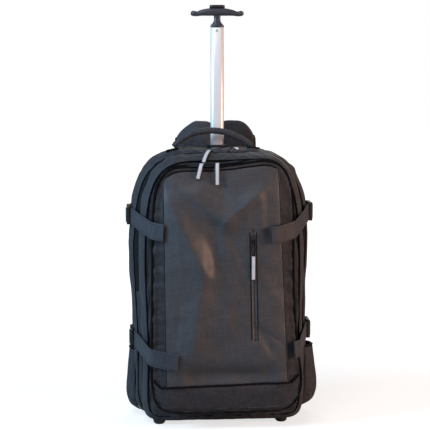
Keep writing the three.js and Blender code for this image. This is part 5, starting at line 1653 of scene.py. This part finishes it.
# Share of the half length, drop, half height and half depth of the bar
GRIP_ROWS = [(0, 0, 0.5, 0.5), (0.34, 0.03, 0.47, 0.5), (0.6, 0.12, 0.38, 0.46), (0.76, 0.25, 0.31, 0.42),
             (0.88, 0.2, 0.35, 0.46), (0.96, 0.2, 0.29, 0.4), (1, 0.22, 0.16, 0.24)]
grip_middle = GRIP_TOP - GRIP_HEIGHT / 2
neck = [(TUBE_TOP + NECK_GAP + (grip_middle - TUBE_TOP) * up,
         oval(2 * wide * TUBE_WIDTH, 2 * deep * TUBE_DEPTH, GRIP_CORNERS, GRIP_POWER))
        for up, wide, deep in smooth_path(NECK_ROWS, 40)]
upright("grip_neck", neck, "handle", GRIP, "handle_grip")
half_rows = smooth_path(GRIP_ROWS, 46)
bar_rows = np.concatenate([half_rows[:0:-1] * [-1, 1, 1, 1], half_rows])
bar = []
for across, drop, high, deep in bar_rows:
    section = oval(2 * deep * GRIP_DEPTH, 2 * high * GRIP_HEIGHT, GRIP_CORNERS, GRIP_POWER)
    bar.append(together(across * GRIP_WIDTH / 2, TUBE_BEHIND + section[:, 0],
                        grip_middle - drop * GRIP_HEIGHT + section[:, 1]))
grip_bar = grid_object("grip_bar", np.array(bar), True, capped=(0, -1))
finish_piece(grip_bar, "handle", GRIP, "handle_grip")
button_low, button_high = reach("handle_button")
BUTTON_WIDTH, BUTTON_DEPTH = 0.029, 0.013
# Height and share of the width, from inside the grip over a rounded edge to the top
button_rows = [(GRIP_TOP - 0.001, 1.0), (button_high[2] - 0.0016, 1.0), (button_high[2] - 0.0006, 0.96),
               (button_high[2] - 0.0001, 0.88), (button_high[2], 0.7)]
button = [(z, stadium(BUTTON_WIDTH * share, BUTTON_DEPTH * share)) for z, share in button_rows]
upright("button_cap", button, "button", BLACK, "handle_button")
print("handle")

# %% [markdown]
# ## Wheels and feet
# Small hard wheels run in housings at the lower rear corners. A tyre has a rounded, ribbed
# tread, and its hub has spokes. Tyre and hub are sections turned about the axle, which
# keeps them round at every turn, and a ripple of the tyre's radius cuts its grooves.

# %% Wheels
WHEEL_RADIUS, WHEEL_HALF, WHEEL_Y, HUB_RADIUS, AXLE = 0.027, 0.010, 0.060, 0.018, 0.004
WHEEL_X = 0.128
SHOULDER = 0.004
TREAD_GROOVES, TREAD_DEPTH, TREAD_REACH = 36, 0.0006, 0.003
WHEEL_GAP, HUB_INSET, HUB_DISH, HUB_STEP = 0.00035, 0.001, 0.003, 0.0008
SPOKES, SPOKE_WIDTH, SPOKE_INSET, SPOKE_ENDS = 5, 0.0032, 0.002, (0.46, 0.88)


def turned(name, profile, centre, body, finish, node, count=72, ripple=None):
    """Solid turned about a line along X: rows of (distance from it, place along it)."""
    angle = 2 * np.pi * np.arange(count) / count
    profile = np.array([*profile, profile[0]])
    radius = profile[:, :1] * np.ones(count)
    if ripple is not None:
        radius = radius + ripple(profile, angle)
    grid = together(centre[0] + profile[:, 1:], centre[1] + radius * np.cos(angle),
                    centre[2] + radius * np.sin(angle))
    obj = merge_doubles(grid_object(name, grid, True))
    finish_piece(obj, body, finish, node)


def tread(profile, angle):
    """Shallow grooves across the tread, where the cosine of the turns is above 0.6."""
    outer = np.clip((profile[:, :1] - WHEEL_RADIUS + TREAD_REACH) / TREAD_REACH, 0, 1)
    return -TREAD_DEPTH * outer * (np.cos(angle * TREAD_GROOVES) > 0.6)


for side in (-1, 1):
    centre = (side * WHEEL_X, WHEEL_Y, WHEEL_RADIUS)
    name, body = NAMES[side], f"wheel_{NAMES[side]}"
    bend = np.linspace(0, np.pi, 13)
    tyre = [(HUB_RADIUS, -WHEEL_HALF), (WHEEL_RADIUS - SHOULDER, -WHEEL_HALF)]
    tyre += [(WHEEL_RADIUS - SHOULDER + SHOULDER * np.sin(b), -WHEEL_HALF * np.cos(b))
             for b in bend[1:-1]]
    tyre += [(WHEEL_RADIUS - SHOULDER, WHEEL_HALF), (HUB_RADIUS, WHEEL_HALF)]
    turned(f"tyre_{name}_rubber", tyre, centre, body, RUBBER, f"tyre_{name}", 144, tread)
    rim, bore, half = HUB_RADIUS - WHEEL_GAP, AXLE + WHEEL_GAP, WHEEL_HALF - HUB_INSET
    half_hub = [(bore, half), (rim * 0.48, half), (rim * 0.55, half - HUB_DISH),
                (rim * 0.86, half - HUB_DISH), (rim * 0.9, half - HUB_STEP), (rim, half - HUB_STEP)]
    hub = [(distance, -along) for distance, along in half_hub] + half_hub[::-1]
    turned(f"hub_{name}_disc", hub, centre, body, BLACK, f"hub_{name}")
    spoke_profile = oval(2 * half - SPOKE_INSET, SPOKE_WIDTH, 16, 5)
    for spoke in range(SPOKES):
        turn = 2 * np.pi * spoke / SPOKES
        ends = [(centre[0], centre[1] + rim * share * np.cos(turn), centre[2] + rim * share * np.sin(turn))
                for share in SPOKE_ENDS]
        beam = sweep(f"hub_{name}_spoke_{spoke}", smooth_path(ends, 8), spoke_profile, (1, 0, 0))
        finish_piece(beam, body, BLACK, f"hub_{name}")
print("wheels")

# %% [markdown]
# ### Housings and feet
# The wheel housings and the front feet are plain moulded parts whose solids already have
# the right form. So each one is a copy of its solid, merged and with its edges rounded by a
# bevel, because a real moulding has no sharp edge and every edge of it catches light. The
# outer tube stays hidden in the bag and only gets its finish.

# %% Housings and feet from the solid model
MERGE_DISTANCE, FLAT_ANGLE, EDGE_ANGLE = 1e-5, np.radians(1), np.radians(35)
HOUSING_BEVEL, FOOT_BEVEL, BEVEL_STEPS = 0.0008, 0.0006, 2


def carried(node, bevel):
    """A merged copy of a hard solid, with its sharp edges rounded."""
    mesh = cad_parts[node].data.copy()
    edit = bmesh.new()
    edit.from_mesh(mesh)
    bmesh.ops.remove_doubles(edit, verts=edit.verts, dist=MERGE_DISTANCE)
    bmesh.ops.dissolve_limit(edit, angle_limit=FLAT_ANGLE, verts=edit.verts, edges=edit.edges)
    bmesh.ops.recalc_face_normals(edit, faces=edit.faces)
    edit.to_mesh(mesh)
    edit.free()
    obj = bpy.data.objects.new(node + "_moulded", mesh)
    bpy.context.collection.objects.link(obj)
    rounding = obj.modifiers.new("rounding", "BEVEL")
    rounding.width = bevel
    rounding.segments = BEVEL_STEPS
    rounding.limit_method = "ANGLE"
    rounding.angle_limit = EDGE_ANGLE
    finish_piece(obj, "bag", BLACK, node)


for side in (-1, 1):
    carried(f"wheel_housing_{NAMES[side]}", HOUSING_BEVEL)
    carried(f"front_foot_{NAMES[side]}", FOOT_BEVEL)
outer_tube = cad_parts["outer_tube"].data
outer_tube.materials.clear()
outer_tube.materials.append(ALUMINIUM)
print("housings, feet and the hidden outer tube")

# %% [markdown]
# ## Compression straps
# Four straps pull the bag flat. Each one starts in a plastic buckle on the side, turns
# round the front edge and ends on the pocket, folded over and sewn. A strap is a flat band
# along the shortest line round the outside of the bag, as a pulled webbing lies, and a
# loose end stands out from the cloth. Shrinking a band onto the surface would be the other
# way, but it would sink into every hollow, which taut webbing bridges.

# %% Strap lines
BUCKLE_FRONT, BUCKLE_LENGTH, BUCKLE_HEIGHT, BUCKLE_WALL = 0.002, 0.042, 0.035, 0.007
STAND_OFF, PLACE_STEP, STRAP_START, CORNER_SHARE = 0.0028, 0.006, 0.0014, 0.6
TAIL_SHARE = 0.25
BAND_WAVE, BAND_WAVES = 0.0004, 18
HEM_POINTS, HEM_LIFT, HEM_WALL, HEM_END_SINK = 22, 0.0021, 0.0018, 0.0002
HEM_STITCH_STAND, HEM_STITCH_INSET, HEM_SEAMS = 0.0010, 0.003, (3, -4)
# Side, heights at the buckle and at the end, place across of the end, and how far it stands out
STRAPS = {
    "upper_left": (-1, 0.757, 0.722, 0.78, 0.001), "upper_right": (1, 0.765, 0.712, 0.60, 0.009),
    "lower_left": (-1, 0.300, 0.257, 0.54, 0.001), "lower_right": (1, 0.322, 0.296, 0.95, 0.008),
}
main_profile = smooth_path(MAIN_SECTIONS, 30)[::-1]
rear_profile = smooth_path(REAR_SECTIONS, 30)


def side_x(side, y, z):
    """Half width of the bag's side at one depth and height."""
    if y < MAIN_FRONT:
        return float(outline_x(POCKET, side, z))
    front = [(RIM_MAIN + (MAIN_FRONT - RIM_MAIN) * depth, outline_x(MAIN, side, z) - inset * MAIN_CORNER)
             for depth, inset in main_profile]
    behind = [(RIM_REAR + (BACK - RIM_REAR) * depth, outline_x(REAR, side, z) - inset * REAR_CORNER)
              for depth, inset in rear_profile]
    stations = np.array(front + behind, float)
    return float(np.interp(y, stations[:, 0], stations[:, 1]))


def widest(side, low_y, high_y, z, half_band):
    """Largest half width that a band meets between two depths."""
    spots = [(y, z + dz) for y in np.linspace(low_y, high_y, 5) for dz in (-half_band, 0, half_band)]
    return max(side_x(side, y, height) for y, height in spots)


def taut(places):
    """Line stretched round the outside of a row of places seen from above."""
    line = []
    for place in places:
        while len(line) > 1:
            a, b = line[-2], line[-1]
            if (b[0] - a[0]) * (place[1] - b[1]) - (b[1] - a[1]) * (place[0] - b[0]) < 0:
                break
            line.pop()
        line.append(place)
    return np.array(line)


def strap_line(side, start, end, across, tail):
    """Middle line of a strap: taut round the side and the edge, standing off by its seat,
    and past three quarters of its way its loose end moves out in proportion."""
    half, start_z, end_z = WEB_WIDTH / 2, start * BODY_TOP, end * BODY_TOP
    end_x = across * POCKET.half
    side_depths = np.arange(BUCKLE_FRONT - STRAP_START, POCKET_EDGE, -PLACE_STEP)
    places = [(widest(side, y, y, start_z, half), y) for y in side_depths]
    corner_z = start_z + (end_z - start_z) * CORNER_SHARE
    places.append((widest(side, POCKET_EDGE, POCKET_EDGE, corner_z, half), POCKET_EDGE))
    for x in np.arange(float(outline_x(POCKET, side, end_z)) - PLACE_STEP, end_x, -PLACE_STEP):
        band = end_z + np.array([-half, 0, half])
        places.append((x, float(broad_face(side * x + 0 * band, band).min())))
    line = evenly(taut(places), 60)
    normal = unit(together(-np.gradient(line[:, 1]), np.gradient(line[:, 0])))
    first = line[0]
    total = first[0] - end_x + BUCKLE_FRONT - POCKET_EDGE
    share = np.clip((first[0] - line[:, 0] + BUCKLE_FRONT - line[:, 1]) / total, 0, 1)
    loose = tail * np.maximum(0, share - 1 + TAIL_SHARE) / TAIL_SHARE
    x = side * (line[:, 0] + normal[:, 0] * STAND_OFF)
    y = line[:, 1] + normal[:, 1] * STAND_OFF - loose
    return smooth_path(together(x, y, start_z + (end_z - start_z) * share)[::3], 140)


def strap(name, side, start, end, across, tail):
    """One strap: its band, the folded end as a second layer, and two rows of stitches."""
    path = strap_line(side, start, end, across, tail)
    node = f"compression_strap_{name}"
    path[:, 1] -= BAND_WAVE * ripples(path, BAND_WAVES, len(name))
    flat_band(node + "_band", path, WEB_WIDTH, WEB_WALL, (0, 0, 1), WEBBING, node)
    doubled = path[-HEM_POINTS:] + np.array([0, -HEM_LIFT, 0])
    doubled[-1, 1] += HEM_END_SINK
    flat_band(node + "_fold", doubled, WEB_WIDTH - 0.001, HEM_WALL, (0, 0, 1), WEBBING, node)
    half_seam = WEB_WIDTH / 2 - HEM_STITCH_INSET
    up = np.linspace(-half_seam, half_seam, 60)
    for number, place in enumerate(doubled[list(HEM_SEAMS)]):
        seam = together(place[0], place[1] - HEM_STITCH_STAND, place[2] + up)
        dashes(f"{node}_stitches_{number}", seam, node, pitch=0.003, length=0.0021)


for name, values in STRAPS.items():
    strap(name, *values)
print("compression straps")

# %% [markdown]
# ### Buckles and rear straps
# A ladder buckle is one moulding: two rails with bars between them, round which the webbing
# turns. Here each rail and bar is a rounded bar of its own, so that every edge has its
# highlight. A block with slots cut through it would need a bevel on each slot to look the
# same. A loop of webbing shows on the buckle, and a rear strap runs from it to the back.

# %% Buckles and rear straps
RAIL_WIDTH, RAIL_INSET, BAR_INSET = 0.0046, 0.002, 0.001
SIDE_BAR, MIDDLE_BAR, THIN_BAR = 0.0042, 0.0115, 0.75
# Place along the buckle, width and share of the thickness of each bar
BUCKLE_BARS = [(-0.9, SIDE_BAR, 1.0), (-0.48, SIDE_BAR, THIN_BAR), (0.0, MIDDLE_BAR, 1.0),
               (0.48, SIDE_BAR, THIN_BAR), (0.9, SIDE_BAR, 1.0)]
BUCKLE_SEAT = 0.00035
LOOP_STAND, LOOP_SINK, LOOP_START, LOOP_LENGTH, LOOP_WALL = 0.0006, 0.004, 0.003, 0.0162, 0.0016
LOOP_WIDTH = WEB_WIDTH - 0.004
REAR_GAP, REAR_LIFT, REAR_SEAT, REAR_END, REAR_REACH = 0.0007, 0.003, 0.0004, 0.004, 0.004


def buckle_bar(name, start, end, width, wall, lead, node):
    """Rounded bar of a buckle between two places."""
    bar = sweep(name, smooth_path([start, end], 12), oval(width, wall, 20, 4), lead)
    finish_piece(bar, "bag", BLACK, node)


def buckle(node, x, y, z):
    """Ladder buckle about its middle: two rails along Y and five bars along Z."""
    half_y, half_z = BUCKLE_LENGTH / 2, BUCKLE_HEIGHT / 2
    for sign, label in ((-1, "low"), (1, "high")):
        rail_z = z + sign * (half_z - RAIL_WIDTH / 2)
        buckle_bar(f"{node}_rail_{label}", (x, y - half_y + RAIL_INSET, rail_z),
                   (x, y + half_y - RAIL_INSET, rail_z), RAIL_WIDTH, BUCKLE_WALL, (0, 0, 1), node)
    for number, (share, width, thinning) in enumerate(BUCKLE_BARS):
        bar_y = y + share * (half_y - BAR_INSET)
        buckle_bar(f"{node}_bar_{number}", (x, bar_y, z - half_z + BAR_INSET),
                   (x, bar_y, z + half_z - BAR_INSET), width, BUCKLE_WALL * thinning, (0, 1, 0), node)


def buckle_loop(node, side, face_x, z):
    """Webbing that shows between the bars: it dives into the buckle at both ends."""
    x = side * (face_x + BUCKLE_WALL + LOOP_STAND) - side * np.array([LOOP_SINK, 0, 0, LOOP_SINK])
    y = BUCKLE_FRONT + LOOP_START + np.linspace(0, LOOP_LENGTH, 4)
    flat_band(node + "_loop", smooth_path(together(x, y, z), 30), LOOP_WIDTH, LOOP_WALL, (0, 0, 1),
              WEBBING, node)


def rear_strap(node, side, z):
    """Webbing from the buckle to the back panel, lying on the side of the bag."""
    start_y = BUCKLE_FRONT + BUCKLE_LENGTH + REAR_GAP
    line = []
    for y, lift in ((start_y, REAR_LIFT), ((start_y + BACK) / 2, REAR_SEAT), (BACK - REAR_END, REAR_SEAT)):
        half_width = widest(side, y - REAR_REACH, y + REAR_REACH, z, WEB_WIDTH / 2)
        line.append((side * (half_width + lift + WEB_WALL / 2), y, z))
    flat_band(node + "_band", smooth_path(line, 40), WEB_WIDTH, WEB_WALL, (0, 0, 1), WEBBING, node)


for name, (side, start, *_) in STRAPS.items():
    z = start * BODY_TOP
    buckle_rear = BUCKLE_FRONT + BUCKLE_LENGTH
    face_x = widest(side, BUCKLE_FRONT, buckle_rear, z, BUCKLE_HEIGHT / 2) + BUCKLE_SEAT
    buckle(f"buckle_{name}", side * (face_x + BUCKLE_WALL / 2), BUCKLE_FRONT + BUCKLE_LENGTH / 2, z)
    buckle_loop(f"buckle_{name}", side, face_x, z)
    rear_strap(f"rear_strap_{name}", side, z)
print("buckles and rear straps")

# %% [markdown]
# ## Zip pulls
# Each slider is a small saddle on the coil. A loop of cord holds a pull of reflective tape, whose pale
# middle stands between two black edges. The edges are part of the finish, which reads the map across the
# tape, because they are as flat as the tape itself. Each pull's points are given one by one, as it happens
# to hang.

# %% Pulls and sliders
PULL_WIDTH, PULL_WALL, PULL_CORNERS, PULL_POINTS = 0.0088, 0.0018, 28, 90
CORD_SPREAD, CORD_RADIUS, CORD_OVERLAP = 0.0026, 0.0008, 8
SLIDER_HALF, SLIDER_WIDTH, SLIDER_HEIGHT, SLIDER_TAPER = 0.0045, 0.0062, 0.0034, 0.35
# Shares of the pocket's half width, of its depth and of the body's height
PULLS = {
    "main_pull_left": [(-0.12, 0.122, 0.992), (-0.13, 0.2, 0.997), (-0.155, 0.33, 0.998),
                       (-0.19, 0.47, 0.991), (-0.225, 0.6, 0.978), (-0.25, 0.68, 0.963)],
    "main_pull_right": [(0.11, 0.122, 0.9865), (0.13, 0.16, 0.99), (0.17, 0.22, 0.999),
                        (0.21, 0.3, 1.008), (0.25, 0.38, 1.004)],
    "pocket_pull_left": [(-0.27, 0.688, 0.952), (-0.275, 0.78, 0.958), (-0.285, 0.92, 0.961),
                         (-0.30, 1.02, 0.957), (-0.32, 1.075, 0.94), (-0.35, 1.10, 0.912)],
    "pocket_pull_middle": [(-0.07, 0.688, 0.9555), (-0.07, 0.78, 0.961), (-0.07, 0.92, 0.963),
                           (-0.075, 1.02, 0.957), (-0.08, 1.08, 0.935), (-0.08, 1.11, 0.89)],
    "panel_pull": [(0.415, 1.18, 0.705), (0.418, 1.19, 0.66), (0.42, 1.2, 0.62), (0.42, 1.2, 0.555)],
}
# Share of each pull's length that is cord, and the usual one
CORD_SHARES = {"main_pull_left": 0.12, "main_pull_right": 0.3, "panel_pull": 0.45}
CORD_SHARE = 0.36


def pull_band(name, path, node):
    """Flat tape along a path whose map runs 0 to 1 across its front and back."""
    across, out = path_frame(path, (1, 0, 0))
    profile = oval(PULL_WIDTH, PULL_WALL, PULL_CORNERS, 5)
    grid = path[:, None] + across[:, None] * profile[None, :, :1] + out[:, None] * profile[None, :, 1:]
    obj = grid_object(name, grid, True, capped=(0, -1))
    numbers = np.empty(len(obj.data.loops), dtype=np.int32)
    obj.data.loops.foreach_get("vertex_index", numbers)
    share = profile[numbers % PULL_CORNERS, 0] / PULL_WIDTH + 0.5
    along = (numbers // PULL_CORNERS) / len(path)
    obj.data.uv_layers["cloth"].data.foreach_set("uv", together(share, along).ravel())
    finish_piece(obj, "bag", PULL, node)


def slider(node, saddle):
    """Saddle that runs along its zip: it narrows at both ends like 1 - taper * |share|^3."""
    runs_up = node == "panel_pull"
    half = np.array([0, 0, -SLIDER_HALF] if runs_up else [SLIDER_HALF, 0, 0])
    lead = (1, 0, 0) if runs_up else (0, 1, 0)
    path = smooth_path([saddle - half, saddle + half], 16)
    widths = 1 - SLIDER_TAPER * np.abs(np.linspace(-1, 1, 16)) ** 3
    obj = sweep(node + "_slider", path, oval(SLIDER_WIDTH, SLIDER_HEIGHT, 20, 3), lead, widths=widths)
    finish_piece(obj, "bag", BLACK, node)


def zip_pull(node, rows):
    """Pull along its row of places: two cords that part by a half sine, then the tape."""
    places = [(x * POCKET.half, y * POCKET_EDGE, z * BODY_TOP) for x, y, z in rows]
    path = smooth_path(places, PULL_POINTS)
    split = int(PULL_POINTS * CORD_SHARES.get(node, CORD_SHARE))
    pull_band(node + "_tape", path[split:], node)
    cord_end = split + CORD_OVERLAP
    parting = np.sin(np.pi * np.linspace(0, 1, cord_end)) * CORD_SPREAD
    for sign in (-1, 1):
        cord_path = path[:cord_end] + together(parting * sign, 0, 0)
        bead(f"{node}_cord_{NAMES[sign]}", cord_path, CORD_RADIUS, PIPING, node)
    slider(node, path[:3].mean(axis=0))


for node, rows in PULLS.items():
    zip_pull(node, rows)
print("pulls")
